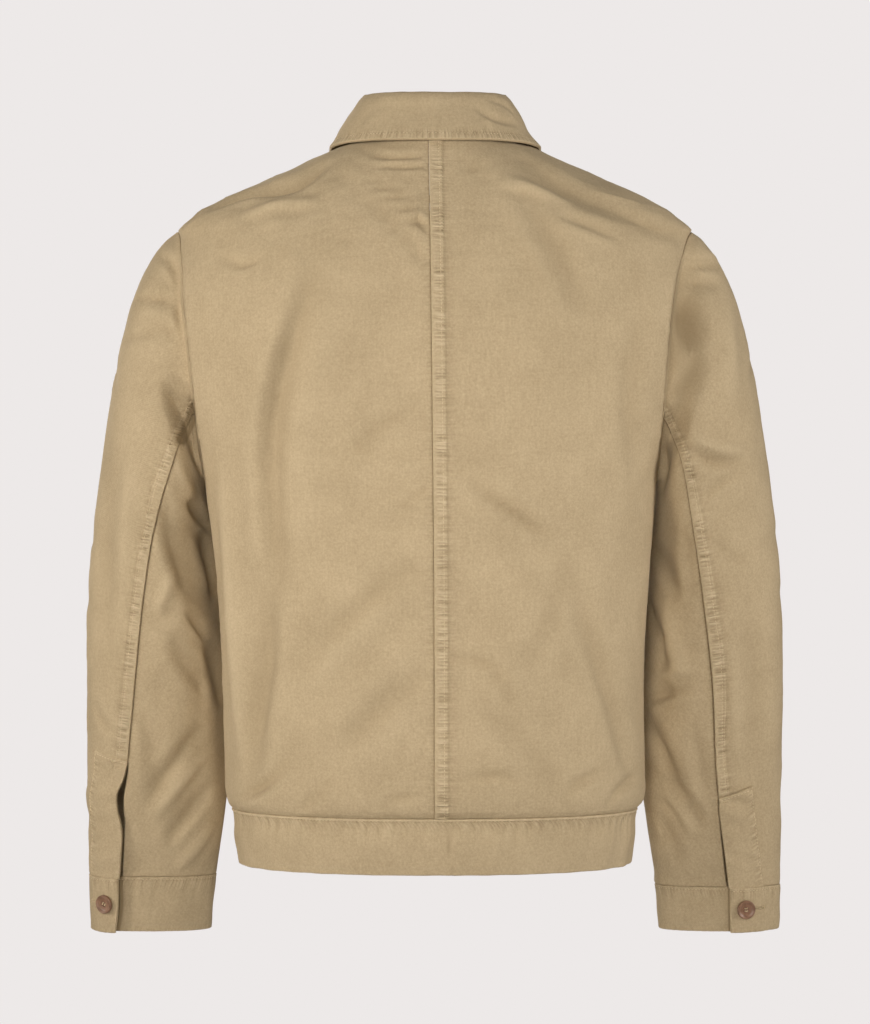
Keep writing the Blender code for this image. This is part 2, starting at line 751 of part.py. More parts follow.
def cuff(side, material):
    """A band round the wrist whose end on the outer side lies over its other end."""
    levels = (CUFF_Z[side] - SEAM_GAP / 2, CUFF_Z[side] - 5.0, -688.0, -707.0, CUFF_END_Z)
    rolls = (0.0, 0.5, 0.5, 0.3, -0.8)
    begin = float(free_turn(side, 16.0))
    under = float(turn_for(side, 16.0, begin, CUFF_UNDERLAP))
    turns = np.concatenate(
        (
            np.linspace(begin, begin - under * 2, 9),
            np.linspace(begin - under * 2, begin - 2 * math.pi, 24)[1:],
            np.linspace(begin - 2 * math.pi, begin - 2 * math.pi - under, 5)[1:],
        )
    )
    z, turn = np.meshgrid(np.array(levels), turns, indexing="ij")
    roll = np.meshgrid(np.array(rolls), turns, indexing="ij")[0]
    passed = begin - turn
    ring = ring_at_height(side, z, turn)
    normals = sleeve_normal(side, ring, turn)
    over = LAY_GAP + BAND_CLOTH + lifted(side, ring, turn)
    over = over * eased((under * 2 - passed) / (under * 0.9))
    outer = sleeve_point(side, ring, turn) + normals * (over + roll)[..., None]
    if side == "right":
        outer = outer * (-1, 1, 1)
        normals = normals * (-1, 1, 1)
    return shell("cuff_" + side, outer, normals, BAND_CLOTH, material)


# ---- the collar ----


def neck_seam(station):
    """Point, body normal and the way on past the edge, on the neck seam at this station."""
    face = "back" if station <= 1 else "front"
    share = station if station <= 1 else 2 - station

    def at(share):
        x, z = neck_line(face, np.clip(share, 0, 1))
        return np.array((float(x), float(body_y("left", face, x, z)), float(z)))

    point = at(share)
    e = 0.01
    run = unit(at(min(share + e, 1.0)) - at(max(share - e, 0.0)))
    normal = body_normal("left", face, *(np.array(v) for v in point))
    on = unit(np.cross(normal, run))
    if on[2] < 0:
        on = -on
    if station == 0 or station == 2:
        normal = unit(normal * (0, 1, 1))
        on = unit(on * (0, 1, 1))
    return point, normal, on


def collar_section(station):
    """Points up the stand, over the fold and down to the free edge, with their normals."""
    seam, seam_normal, on = neck_seam(station)
    fold = np.array([float(curve(COLLAR_FOLD_ROWS, k, station)) for k in (1, 2, 3)])
    if station <= 1:
        z = mix(COLLAR_EDGE_BACK_Z, COLLAR_EDGE_SIDE_Z, station)
        n = float(squareness(z))
        x = float(half_width("left", "back", z)) * math.sin(station * math.pi / 2) ** (2 / n)
        face = "back"
    else:
        x = float(curve(COLLAR_EDGE_ROWS, 1, station))
        z = float(curve(COLLAR_EDGE_ROWS, 2, station))
        face = "front"
    y = float(body_y("left", face, x, z))
    off = body_normal("left", face, np.array(x), np.array(y), np.array(z))
    edge = np.array((x, y, z)) + off * (COLLAR_OFF_BODY + COLLAR_CLOTH)
    before = np.array([float(curve(COLLAR_FOLD_ROWS, k, station - 0.03)) for k in (1, 2, 3)])
    after = np.array([float(curve(COLLAR_FOLD_ROWS, k, station + 0.03)) for k in (1, 2, 3)])
    run = unit(after - before) if station > 0 else np.array((1.0, 0.0, 0.0))
    down = np.array((0.0, 0.0, -1.0))
    down = unit(down - run * (down @ run))
    out = np.cross(run, down)
    base = seam + on * (SEAM_GAP + 0.1) - seam_normal * (COLLAR_CLOTH - 0.3)
    low_stand = mix(base, fold + down * 11.0 - out * 1.5, 0.5)
    marks = (
        base,
        low_stand,
        fold + down * 11.0 - out * 1.5,
        fold + down * 3.4 - out * 0.6,
        fold + out * 2.6,
        fold + down * 2.8 + out * 6.0,
        mix(fold + down * 2.0 + out * 6.0, edge, 0.33),
        mix(fold + down * 2.0 + out * 6.0, edge, 0.68),
        edge,
    )
    return np.array(marks), seam_normal


def collar(material):
    stations = np.linspace(0, 2, 2 * NECK_COLUMNS + 1)
    stations[-1] = 1.985
    half = [collar_section(station) for station in stations]
    marks = np.array([marks for marks, _ in half])
    mirrored = marks[:0:-1] * (-1, 1, 1)
    outer = np.concatenate((mirrored, marks))
    across = np.empty_like(outer)
    across[1:-1] = outer[2:] - outer[:-2]
    across[0] = outer[1] - outer[0]
    across[-1] = outer[-1] - outer[-2]
    along = np.empty_like(outer)
    along[:, 1:-1] = outer[:, 2:] - outer[:, :-2]
    along[:, 0] = outer[:, 1] - outer[:, 0]
    along[:, -1] = outer[:, -1] - outer[:, -2]
    normals = unit(np.cross(across, along))
    middle = len(stations) - 1
    if normals[middle, -2, 1] < 0:
        normals = -normals
    seam_normals = np.array([normal for _, normal in half])
    seam_normals = np.concatenate((seam_normals[:0:-1] * (-1, 1, 1), seam_normals))
    normals[:, 0] = -seam_normals
    return shell("collar", outer, normals, COLLAR_CLOTH, material)


# ---- the buttons ----


def button(name, centre, normal, up, material):
    """A turned button with a raised rim and four holes, facing along its normal."""
    profile = (
        (0.0, 0.0),
        (BUTTON_RADIUS - 1.4, 0.0),
        (BUTTON_RADIUS, 1.1),
        (BUTTON_RADIUS - 0.9, BUTTON_THICK),
        (BUTTON_RADIUS - 3.0, BUTTON_THICK - 0.9),
        (0.0, BUTTON_THICK - 1.3),
    )
    sides = 14
    points = [(0.0, 0.0, profile[0][1])]
    for radius, height in profile[1:-1]:
        for k in range(sides):
            turn = 2 * math.pi * k / sides
            points.append((radius * math.cos(turn), radius * math.sin(turn), height))
    points.append((0.0, 0.0, profile[-1][1]))
    faces = []
    rings = len(profile) - 2
    for k in range(sides):
        following = (k + 1) % sides
        faces.append((0, 1 + following, 1 + k))
        for ring in range(rings - 1):
            low = 1 + ring * sides
            high = low + sides
            faces.append((low + k, low + following, high + following, high + k))
        last = 1 + (rings - 1) * sides
        faces.append((last + k, last + following, len(points) - 1))
    mesh = bpy.data.meshes.new(name)
    mesh.from_pydata([[value * MM for value in point] for point in points], [], faces)
    mesh.materials.append(material)
    thing = bpy.data.objects.new(name, mesh)
    garment.objects.link(thing)
    for k in range(4):
        turn = math.pi / 4 + k * math.pi / 2
        bpy.ops.mesh.primitive_cylinder_add(
            vertices=6,
            radius=BUTTON_HOLE_RADIUS * MM,
            depth=BUTTON_THICK * 3 * MM,
            location=(
                BUTTON_HOLE_PITCH * math.cos(turn) * MM,
                BUTTON_HOLE_PITCH * math.sin(turn) * MM,
                0.0,
            ),
        )
        cutter = bpy.context.object
        cutter.name = name + "_hole_" + str(k + 1)
        move_to(cutter, cutters)
        cut = thing.modifiers.new("hole_" + str(k + 1), "BOOLEAN")
        cut.solver = "EXACT"
        cut.operation = "DIFFERENCE"
        cut.object = cutter
        cutter.parent = thing
        cutter.hide_render = True
        cutter.display_type = "WIRE"
    normal = unit(np.asarray(normal, float))
    side_way = unit(np.cross(up, normal))
    up = np.cross(normal, side_way)
    frame = np.eye(4)
    frame[:3, 0] = side_way
    frame[:3, 1] = up
    frame[:3, 2] = normal
    frame[:3, 3] = (np.asarray(centre, float) + normal * LAY_GAP) * MM
    thing.matrix_world = frame.T.tolist()
    return thing


def move_to(thing, collection):
    for held in list(thing.users_collection):
        held.objects.unlink(thing)
    collection.objects.link(thing)


def front_button(index, z, material):
    y = float(body_y("left", "front", 0.0, z))
    normal = body_normal("left", "front", np.array(0.0), np.array(y), np.array(z))
    normal = unit(normal * (0, 1, 1))
    raised = 0.6 if z < BAND_TOP_Z else 0.0
    centre = np.array((0.0, y, z)) + normal * raised
    button("button_front_" + str(index), centre, normal, (0, 0, 1), material)


def cuff_button(side, material):
    want_x, z = CUFF_BUTTON[side]
    low, high = 0.0, math.pi / 2 + 0.3
    for _ in range(40):
        turn = (low + high) / 2
        ring = ring_at_height(side, z, turn)
        if sleeve_point(side, ring, turn)[0] > want_x:
            low = turn
        else:
            high = turn

    def face_point(turn, z):
        ring = ring_at_height(side, z, turn)
        normal = sleeve_normal(side, np.array(ring), np.array(turn))
        over = LAY_GAP + BAND_CLOTH + float(lifted(side, ring, turn)) + 0.5
        return sleeve_point(side, np.array(ring), np.array(turn)) + normal * over

    across = face_point(turn + 0.12, z) - face_point(turn - 0.12, z)
    along = face_point(turn, z + 5) - face_point(turn, z - 5)
    normal = unit(np.cross(along, across))
    if normal[1] < 0:
        normal = -normal
    centre = face_point(turn, z) + normal * 0.25
    if side == "right":
        centre = centre * (-1, 1, 1)
        normal = normal * (-1, 1, 1)
    button("button_cuff_" + side, centre, normal, (0, 0, 1), material)


# ---- the garment ----

for thing in list(bpy.data.objects):
    bpy.data.objects.remove(thing, do_unlink=True)
garment = bpy.data.collections.new("Overshirt")
bpy.context.scene.collection.children.link(garment)
cutters = bpy.data.collections.new("Cutters")
bpy.context.scene.collection.children.link(cutters)
cutters.hide_render = True

twill = new_material("khaki_twill", KHAKI, 0.85)
horn = new_material("brown_button", BROWN, 0.35)

panel("back_left", "left", "back", centre_left, (), False, False, twill)
panel("back_right", "right", "back", centre_right, (LAP_WIDTH, LAP_WIDTH + LAP_SLOPE), True, False, twill)
panel("front_left", "left", "front", front_edge, (FRONT_LAP,), False, False, twill)
panel("front_right", "right", "front", front_edge, (FRONT_LAP, 28.0), False, True, twill)
hem_band(twill)
for side in ("left", "right"):
    sleeve(side, twill)
    placket(side, twill)
    cuff(side, twill)
    cuff_button(side, horn)
collar(twill)
for index, z in enumerate(FRONT_BUTTON_Z):
    front_button(index + 1, z, horn)
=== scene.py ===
import math

import bpy
import numpy as np
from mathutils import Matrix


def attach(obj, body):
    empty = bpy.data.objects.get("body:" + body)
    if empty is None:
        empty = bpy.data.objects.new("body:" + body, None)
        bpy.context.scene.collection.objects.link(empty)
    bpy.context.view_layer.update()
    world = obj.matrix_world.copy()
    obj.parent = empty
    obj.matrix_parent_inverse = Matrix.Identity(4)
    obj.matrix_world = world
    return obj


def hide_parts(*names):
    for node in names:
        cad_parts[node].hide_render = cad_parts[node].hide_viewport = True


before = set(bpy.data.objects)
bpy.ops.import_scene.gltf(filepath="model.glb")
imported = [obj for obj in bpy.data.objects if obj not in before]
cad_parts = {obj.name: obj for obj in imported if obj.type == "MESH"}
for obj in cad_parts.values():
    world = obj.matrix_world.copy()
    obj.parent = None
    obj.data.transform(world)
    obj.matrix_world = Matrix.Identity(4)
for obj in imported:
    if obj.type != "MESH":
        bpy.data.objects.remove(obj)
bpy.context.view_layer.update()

print("frame loaded")

# Tables and sizes are in millimetres, and meshes are made in metres.
# The back of the overshirt faces +Y and the wearer's left is +X.
mm = 0.001

# Camera, light and floor
studio = {
    "distance": 3000.0,       # from the middle of the neck, straight behind
    "height": -327.0,
    "lens": 117.2,
    "focalPixels": 3333.0,    # what that lens gives on a picture 1024 pixels high
    "middle": (435.0, 512.0),
    "backdrop": "#EDE9E8",
    "ambient": 0.13,
    "ambientColour": "#F4F1EE",
    "floor": ("#E4E0DE", "#F1EFED"),
    "floorOwnLight": 0.8,
    "floorHeight": -1480.0,   # puts the neck as high as on someone who stands
    "floorRadius": 4200.0,
    # name, place, what it points at, width and height, watts, colour, spread in degrees
    "lights": (
        ("near", (300, 2850, 300), (0, 0, -262), (900, 800), 3.2, "#FFF9F1", 44),
        ("low", (0, 2000, -1300), (0, 0, -500), (1200, 900), 2.15, "#FFF9F1", 60),
        ("left", (2560, 1020, -50), (0, 0, -240), (900, 1100), 4.9, "#FFF8EF", 60),
        ("right", (-2700, 700, -50), (0, 0, -240), (900, 1100), 4.9, "#FFFAF4", 60),
        ("front", (700, -2700, 300), (0, 0, -330), (1800, 1800), 60, "#FFF8EF", 180),
    ),
}


def linear(hexColour):
    parts = [int(hexColour[k:k + 2], 16) / 255 for k in (1, 3, 5)]
    lit = [v / 12.92 if v <= 0.04045 else ((v + 0.055) / 1.055) ** 2.4 for v in parts]
    return (*lit, 1.0)


def addNode(tree, kind, inputs=(), **settings):
    # an input is a value, a socket, or a node whose first output is linked
    node = tree.nodes.new(kind)
    for name, value in settings.items():
        setattr(node, name, value)
    for socket, value in dict(inputs).items():
        if isinstance(value, bpy.types.Node):
            value = value.outputs[0]
        if isinstance(value, bpy.types.NodeSocket):
            tree.links.new(value, node.inputs[socket])
        else:
            node.inputs[socket].default_value = value
    return node


def newMaterial(name):
    material = bpy.data.materials.new(name)
    material.use_nodes = True
    material.node_tree.nodes.clear()
    return material, material.node_tree


def softLight(name, place, target, size, watts, colour, spread):
    bpy.ops.object.light_add(type="AREA", location=[v * mm for v in place])
    light = bpy.context.object
    light.name = name
    light.data.shape = "RECTANGLE"
    light.data.size = size[0] * mm
    light.data.size_y = size[1] * mm
    light.data.energy = watts
    light.data.spread = math.radians(spread)
    light.data.color = linear(colour)[:3]
    way = np.array(target, float) - np.array(place, float)
    way /= np.linalg.norm(way)
    light.rotation_euler = (math.acos(-way[2]), 0.0, math.atan2(-way[0], way[1]))


def buildStudio():
    bpy.ops.object.select_all(action="DESELECT")
    bpy.ops.object.camera_add(
        location=(0, studio["distance"] * mm, studio["height"] * mm),
        rotation=(math.pi / 2, 0, math.pi),
    )
    camera = bpy.context.object
    camera.name = "camera"
    camera.data.lens = studio["lens"]
    camera.data.sensor_width = 36
    camera.data.sensor_fit = "AUTO"
    bpy.context.scene.camera = camera
    bpy.context.scene.view_settings.view_transform = "Standard"

    world = bpy.data.worlds.new("studio")
    bpy.context.scene.world = world
    world.use_nodes = True
    tree = world.node_tree
    tree.nodes.clear()
    path = addNode(tree, "ShaderNodeLightPath").outputs["Is Camera Ray"]
    seen = addNode(tree, "ShaderNodeBackground", {"Color": linear(studio["backdrop"])})
    ambient = {"Color": linear(studio["ambientColour"]), "Strength": studio["ambient"]}
    lit = addNode(tree, "ShaderNodeBackground", ambient)
    both = addNode(tree, "ShaderNodeMixShader", {0: path, 1: lit, 2: seen})
    addNode(tree, "ShaderNodeOutputWorld", {"Surface": both})

    for row in studio["lights"]:
        softLight(*row)

    bpy.ops.mesh.primitive_circle_add(
        vertices=96,
        radius=studio["floorRadius"] * mm,
        fill_type="NGON",
        location=(0, 0, studio["floorHeight"] * mm),
    )
    floor = bpy.context.object
    floor.name = "floor"
    bpy.ops.object.transform_apply(location=True, rotation=True, scale=True)
    material, tree = newMaterial("paleStudioFloor")
    grain = addNode(tree, "ShaderNodeTexNoise", {"Scale": 6.0, "Detail": 3.0})
    pale, paler = (linear(colour) for colour in studio["floor"])
    shade = addNode(tree, "ShaderNodeMix", {0: grain, 6: pale, 7: paler}, data_type="RGBA")
    shade = shade.outputs[2]
    body = addNode(tree, "ShaderNodeBsdfPrincipled", {"Roughness": 0.9, "Base Color": shade})
    # lit for the eye alone, so that it stays pale and throws nothing back at the cloth
    glow = addNode(tree, "ShaderNodeEmission", {"Strength": 1.0, "Color": shade})
    path = addNode(tree, "ShaderNodeLightPath").outputs["Is Camera Ray"]
    own = {0: path, 1: studio["floorOwnLight"]}
    share = addNode(tree, "ShaderNodeMath", own, operation="MULTIPLY")
    seen = addNode(tree, "ShaderNodeMixShader", {0: share, 1: body, 2: glow})
    addNode(tree, "ShaderNodeOutputMaterial", {"Surface": seen})
    floor.data.materials.append(material)


buildStudio()
print("studio set")

# Cotton twill, woven, dyed and washed: matt, with a faint diagonal line, thin slubs up and
# down, a little colour lost on what stands proud, and painted shade where it lies low. One unit of
# the cloth map is 100 mm.
twill = {
    "colour": "#C4B191",
    "dark": "#9D8B6D",
    "faded": "#CFBD9D",
    # the colour of what lies low: painted shade, and dye kept in the hollows
    "paintedTone": "#89775A",
    "sheen": "#E6D6B8",
    "linePitch": 1.1,         # the real line is 0.5 mm apart, too fine to show
    "lineLean": 1.35,         # millimetres up for one across
    "slubWide": 1.6,
    "slubLong": 26.0,
    "blotch": 45.0,
    "tuckPitch": 3.1,         # the puckers that a row of stitches leaves in washed cloth
    "tuckLong": 22.0,
    # what each pattern adds to the tone, and where the tone is darkest and palest
    "tone": {"blotch": 0.5, "slub": 0.28, "slubAcross": 0.16, "speck": 0.9, "line": 0.05},
    "toneRange": (0.50, 1.34),
}


def cottonTwill(name, turned=False):
    material, tree = newMaterial(name)
    place = addNode(tree, "ShaderNodeTexCoord").outputs["Object"]
    clothMap = addNode(tree, "ShaderNodeUVMap", uv_map="cloth")
    part = addNode(tree, "ShaderNodeSeparateXYZ", {0: clothMap})
    across, along = part.outputs[0], part.outputs[1]
    if turned:
        across, along = along, across
    lean = twill["lineLean"]
    linesPerUnit = 2 * math.pi * 100 / twill["linePitch"] / round(math.hypot(lean, 1), 2)
    line = addNode(tree, "ShaderNodeMath", {0: across, 1: lean, 2: along}, operation="MULTIPLY_ADD")
    line = addNode(tree, "ShaderNodeMath", {0: line, 1: linesPerUnit}, operation="MULTIPLY")
    line = addNode(tree, "ShaderNodeMath", {0: line}, operation="SINE")
    patterns = {"line": line}
    narrow, long = 100 / twill["slubWide"], 100 / twill["slubLong"]
    for label, scale in (("slub", (narrow, long, 1.0)), ("slubAcross", (long, narrow, 1.0))):
        weave = addNode(tree, "ShaderNodeMapping", {"Scale": scale, "Vector": clothMap})
        slub = {"Scale": 1.0, "Detail": 3.0, "Roughness": 0.6, "Vector": weave}
        patterns[label] = addNode(tree, "ShaderNodeTexNoise", slub)
    for label, scale, detail, rough in (("blotch", 1000 / twill["blotch"], 4.0, 0.55),
                                        ("speck", 520.0, 2.0, 0.7), ("crumple", 75.0, 5.0, 0.55)):
        mottle = {"Scale": scale, "Detail": detail, "Roughness": rough, "Vector": place}
        patterns[label] = addNode(tree, "ShaderNodeTexNoise", mottle)
    tone = 0.0
    for label, share in twill["tone"].items():
        added = {0: patterns[label], 1: share, 2: tone}
        tone = addNode(tree, "ShaderNodeMath", added, operation="MULTIPLY_ADD")
    darkest, palest = twill["toneRange"]
    shades = {"Value": tone, "From Min": darkest, "From Max": palest}
    shade = addNode(tree, "ShaderNodeMapRange", shades)

    # the puckers beside a seam, from noise and a regular row
    seam = addNode(tree, "ShaderNodeAttribute", attribute_name="alongSeam").outputs["Fac"]
    puckered = addNode(tree, "ShaderNodeAttribute", attribute_name="puckered").outputs["Fac"]
    rubbed = addNode(tree, "ShaderNodeAttribute", attribute_name="rubbed").outputs["Fac"]
    tuckLong, pitch = 100 / twill["tuckLong"], 100 / twill["tuckPitch"]
    long, short, turns = (
        addNode(tree, "ShaderNodeMath", {0: way, 1: scale}, operation="MULTIPLY")
        for way, scale in ((across, tuckLong), (seam, pitch), (seam, 2 * math.pi * pitch))
    )
    gathered = addNode(tree, "ShaderNodeCombineXYZ", {0: long, 1: short})
    uneven = {"Scale": 1.0, "Detail": 1.5, "Roughness": 0.5, "Vector": gathered}
    tucks = addNode(tree, "ShaderNodeTexNoise", uneven)
    row = addNode(tree, "ShaderNodeMath", {0: tucks, 1: 11.0, 2: turns}, operation="MULTIPLY_ADD")
    row = addNode(tree, "ShaderNodeMath", {0: row}, operation="SINE")
    level = addNode(tree, "ShaderNodeMath", {0: tucks, 1: 0.5}, operation="SUBTRACT")
    rows = {0: row, 1: 0.09, 2: level}
    standing = addNode(tree, "ShaderNodeMath", rows, operation="MULTIPLY_ADD")
    standing = addNode(tree, "ShaderNodeMath", {0: standing, 1: puckered}, operation="MULTIPLY")

    # what stands proud is faded by wear, and what lies low is darker: partly dye kept in the
    # hollows, partly painted shade
    paintedTone = {0: standing, 1: 2.6, 2: rubbed}
    height = addNode(tree, "ShaderNodeMath", paintedTone, operation="MULTIPLY_ADD")
    depth = addNode(tree, "ShaderNodeMath", {0: height, 1: -1.0}, operation="MULTIPLY")
    proud, low = (
        addNode(tree, "ShaderNodeMath", {0: way, 1: 0.0}, operation="MAXIMUM")
        for way in (height, depth)
    )
    ground = linear(twill["dark"])
    for share, colour in ((shade, "colour"), (proud, "faded"), (low, "paintedTone")):
        dyed = {0: share, 6: ground, 7: linear(twill[colour])}
        ground = addNode(tree, "ShaderNodeMix", dyed, data_type="RGBA").outputs[2]

    threads = {0: line, 1: 0.5, 2: patterns["slub"]}
    relief = addNode(tree, "ShaderNodeMath", threads, operation="MULTIPLY_ADD")
    under = {}
    for strength, deep, heights in ((0.35, 0.00018, relief), (0.45, 0.0013, patterns["crumple"]),
                                    (1.0, 0.0022, standing)):
        bump = {"Strength": strength, "Distance": deep, "Height": heights, **under}
        under = {"Normal": addNode(tree, "ShaderNodeBump", bump)}
    body = addNode(tree, "ShaderNodeBsdfPrincipled", {
        "Base Color": ground, "Roughness": 0.9, "Specular IOR Level": 0.2,
        "Sheen Weight": 0.12, "Sheen Roughness": 0.5, "Sheen Tint": linear(twill["sheen"]), **under,
    })
    addNode(tree, "ShaderNodeOutputMaterial", {"Surface": body})
    return material


# Spun polyester-cotton sewing thread, a shade lighter than the cloth, with a twist that
# catches the light.
def sewingThread():
    material, tree = newMaterial("sewingThread")
    place = addNode(tree, "ShaderNodeTexCoord").outputs["Object"]
    twist = addNode(tree, "ShaderNodeTexNoise", {"Scale": 900.0, "Detail": 2.0, "Vector": place})
    colours = {0: twist, 6: linear("#B8A27C"), 7: linear("#E2D2B0")}
    shade = addNode(tree, "ShaderNodeMix", colours, data_type="RGBA").outputs[2]
    finish = {"Base Color": shade, "Roughness": 0.6, "Specular IOR Level": 0.35}
    body = addNode(tree, "ShaderNodeBsdfPrincipled", finish)
    addNode(tree, "ShaderNodeOutputMaterial", {"Surface": body})
    return material


# Cast polyester button, turned and tumbled: brown with drawn-out darker streaks as in
# horn, and a soft polish.
def hornButton():
    material, tree = newMaterial("castPolyesterHorn")
    place = addNode(tree, "ShaderNodeTexCoord").outputs["Object"]
    stretched = {"Scale": (120.0, 420.0, 160.0), "Rotation": (0.3, 0.2, 0.6), "Vector": place}
    drawn = addNode(tree, "ShaderNodeMapping", stretched)
    streaks = {"Scale": 1.0, "Detail": 4.0, "Distortion": 0.8, "Vector": drawn}
    streak = addNode(tree, "ShaderNodeTexNoise", streaks)
    shares = {"Value": streak, "From Min": 0.25, "From Max": 0.8}
    share = addNode(tree, "ShaderNodeMapRange", shares)
    rough = addNode(tree, "ShaderNodeMapRange", {"Value": streak, "To Min": 0.28, "To Max": 0.42})
    colours = {0: share, 6: linear("#6C4D39"), 7: linear("#9C7860")}
    shade = addNode(tree, "ShaderNodeMix", colours, data_type="RGBA").outputs[2]
    finish = {"Base Color": shade, "Roughness": rough, "IOR": 1.52, "Coat Weight": 0.15}
    body = addNode(tree, "ShaderNodeBsdfPrincipled", finish)
    addNode(tree, "ShaderNodeOutputMaterial", {"Surface": body})
    return material


cloth = cottonTwill("cottonTwill")
clothAcross = cottonTwill("cottonTwillAcross", turned=True)
thread = sewingThread()
horn = hornButton()
print("materials made")


# The garment's form, worked out from the same sizes as its solids
form = {
    "hem": -641.2,
    "bandTop": -592.0,
    "underarm": -300.0,
    "shoulder": -74.5,
    "backNeck": 7.0,
    "sideNeck": 3.0,
    "frontNeck": -62.0,
    "shoulderWide": 231.0,
    "neckWide": 80.0,
    "neckShare": 0.34,
    "frontLap": 12.5,
    "armholeBack": 70.0,
    "armholeFront": 64.0,
    "armholeCut": 7.0,
    "clear": 1.6,
    "strip": 10.5,
    "stripRaise": 1.0,
    "stripSlope": 1.6,
    "cloth": 1.3,
    "band": 2.4,
    "placketCloth": 1.8,
    "gap": 0.12,
    "lay": 0.4,
    "cuffTop": {"left": -660.0, "right": -669.5},
    "cuffEnd": -711.0,
    "slitTop": {"left": -552.0, "right": -586.5},
    "slitSlant": {"left": 9.0, "right": 11.0},
    "placketWide": 40.0,
    "edgeRise": {"left": 5.0, "right": 2.5},
    "underlap": 26.0,
    "overlap": 6.0,
    "hollowed": {"left": (9.0, 22.0), "right": (15.0, 40.0)},
    "overlapTop": -92.0,
    "overlapEnd": -285.0,
}

# z, half-width left, half-width right, depth of back, depth of front, squareness
bodyRows = np.array((
    (-642.0, 175.5, 175.5, 122.0, 127.0, 2.25),
    (-617.0, 179.5, 179.0, 125.0, 130.0, 2.25),
    (-592.0, 182.0, 181.5, 127.5, 132.5, 2.25),
    (-587.0, 185.0, 184.7, 131.0, 136.0, 2.25),
    (-579.0, 187.3, 187.2, 133.8, 139.0, 2.25),
    (-560.0, 188.0, 187.4, 135.5, 141.0, 2.25),
    (-505.0, 190.6, 187.6, 137.5, 143.0, 2.28),
    (-450.0, 192.8, 189.5, 139.5, 145.0, 2.3),
    (-405.0, 195.4, 192.0, 141.0, 147.0, 2.32),
    (-360.0, 199.5, 194.0, 142.0, 148.5, 2.35),
    (-300.0, 205.0, 197.5, 142.0, 149.0, 2.35),
    (-230.0, 210.0, 203.0, 140.5, 146.0, 2.35),
    (-170.0, 215.0, 208.0, 136.0, 135.0, 2.32),
    (-120.0, 222.0, 216.0, 127.5, 115.0, 2.28),
    (-74.5, 231.0, 231.0, 114.0, 88.0, 2.2),
    (-45.0, 200.0, 200.0, 100.0, 66.0, 2.15),
    (-20.0, 140.0, 140.0, 87.5, 49.0, 2.1),
    (-3.0, 94.0, 94.0, 78.0, 33.0, 2.05),
    (3.0, 80.0, 80.0, 74.0, 26.0, 2.0),
    (8.0, 72.0, 72.0, 70.0, 20.0, 2.0),
))

# z and half-width along the top of the shoulder
shoulderRows = np.array((
    (-74.5, 231.0), (-68.5, 227.0), (-61.0, 218.5), (-46.0, 192.6), (-28.0, 153.5),
    (-10.0, 112.5), (-3.0, 94.0), (3.0, 80.0), (8.0, 71.0),
))

# z and half-width of the armhole seam, left and right
armholeRows = np.array((
    (-300.0, 205.0, 197.5), (-261.0, 209.0, 199.5), (-231.0, 212.0, 201.6),
    (-197.0, 215.3, 204.0), (-169.0, 218.6, 206.5), (-142.0, 222.0, 210.0),
    (-116.0, 225.0, 215.5), (-98.0, 228.0, 222.0), (-74.5, 231.0, 231.0),
))

# z and place across of the fold edge down the middle of the back
centreRows = np.array((
    (-592.0, 0.3), (-420.0, 0.6), (-250.0, 2.0), (-120.0, 3.6), (8.0, 5.6),
))

# outer x left and right, outer z, inner x left and right, inner z, middle y, depth back,
# depth front, squareness, from the armhole to the end of the cuff
sleeveRows = np.array((
    (231.0, 231.0, -74.5, 205.0, 197.5, -300.0, 0.0, 70.0, 64.0, 2.0),
    (246.3, 245.6, -85.5, 206.0, 198.5, -303.5, -6.0, 73.0, 64.0, 2.05),
    (261.5, 260.6, -106.5, 205.2, 198.0, -310.0, -14.0, 76.0, 64.0, 2.1),
    (274.0, 273.0, -140.0, 203.6, 196.9, -321.0, -19.0, 77.0, 64.0, 2.15),
    (284.4, 283.4, -180.0, 201.8, 195.8, -337.0, -23.0, 76.0, 63.0, 2.2),
    (293.3, 292.4, -225.0, 199.8, 194.4, -358.0, -27.0, 74.0, 62.0, 2.2),
    (300.8, 300.0, -272.0, 197.6, 193.2, -384.0, -31.0, 71.0, 61.0, 2.2),
    (307.8, 307.0, -321.0, 195.3, 191.9, -413.0, -34.0, 67.0, 60.0, 2.2),
    (313.3, 312.4, -370.0, 193.4, 190.2, -444.0, -37.0, 62.0, 58.0, 2.2),
    (316.6, 315.8, -419.0, 192.0, 189.0, -477.0, -41.0, 57.0, 54.0, 2.2),
    (318.2, 317.4, -465.0, 190.9, 188.0, -510.0, -46.0, 52.0, 50.0, 2.2),
    (318.7, 318.0, -509.0, 190.0, 187.4, -541.0, -52.0, 48.0, 46.0, 2.2),
    (318.8, 318.1, -550.0, 189.8, 188.8, -571.0, -58.0, 44.0, 43.0, 2.2),
    (318.8, 318.1, -588.0, 192.8, 192.8, -601.0, -64.0, 40.0, 39.0, 2.2),
    (318.8, 318.1, -624.0, 197.0, 197.0, -630.0, -69.0, 36.5, 36.0, 2.2),
    (318.6, 318.0, -656.5, 201.6, 201.6, -659.0, -74.0, 33.5, 33.0, 2.2),
    (318.3, 318.0, -684.0, 204.6, 204.6, -685.0, -78.0, 32.0, 32.0, 2.2),
    (317.6, 317.4, -711.0, 207.2, 207.2, -711.0, -81.0, 31.0, 31.0, 2.2),
))
sleeveTable = np.column_stack((np.arange(len(sleeveRows)), sleeveRows))
lastRing = 17.0

# ring, and how far round from the outside the sleeve's seam is, left and right
seamRows = np.array((
    (0.0, 116.0, 119.0), (2.0, 114.0, 118.5), (4.0, 104.5, 113.0), (6.0, 92.0, 106.0),
    (8.0, 84.6, 98.5), (10.0, 78.0, 91.8), (12.0, 70.5, 89.4), (14.0, 67.0, 87.0),
    (17.0, 63.0, 81.5),
))

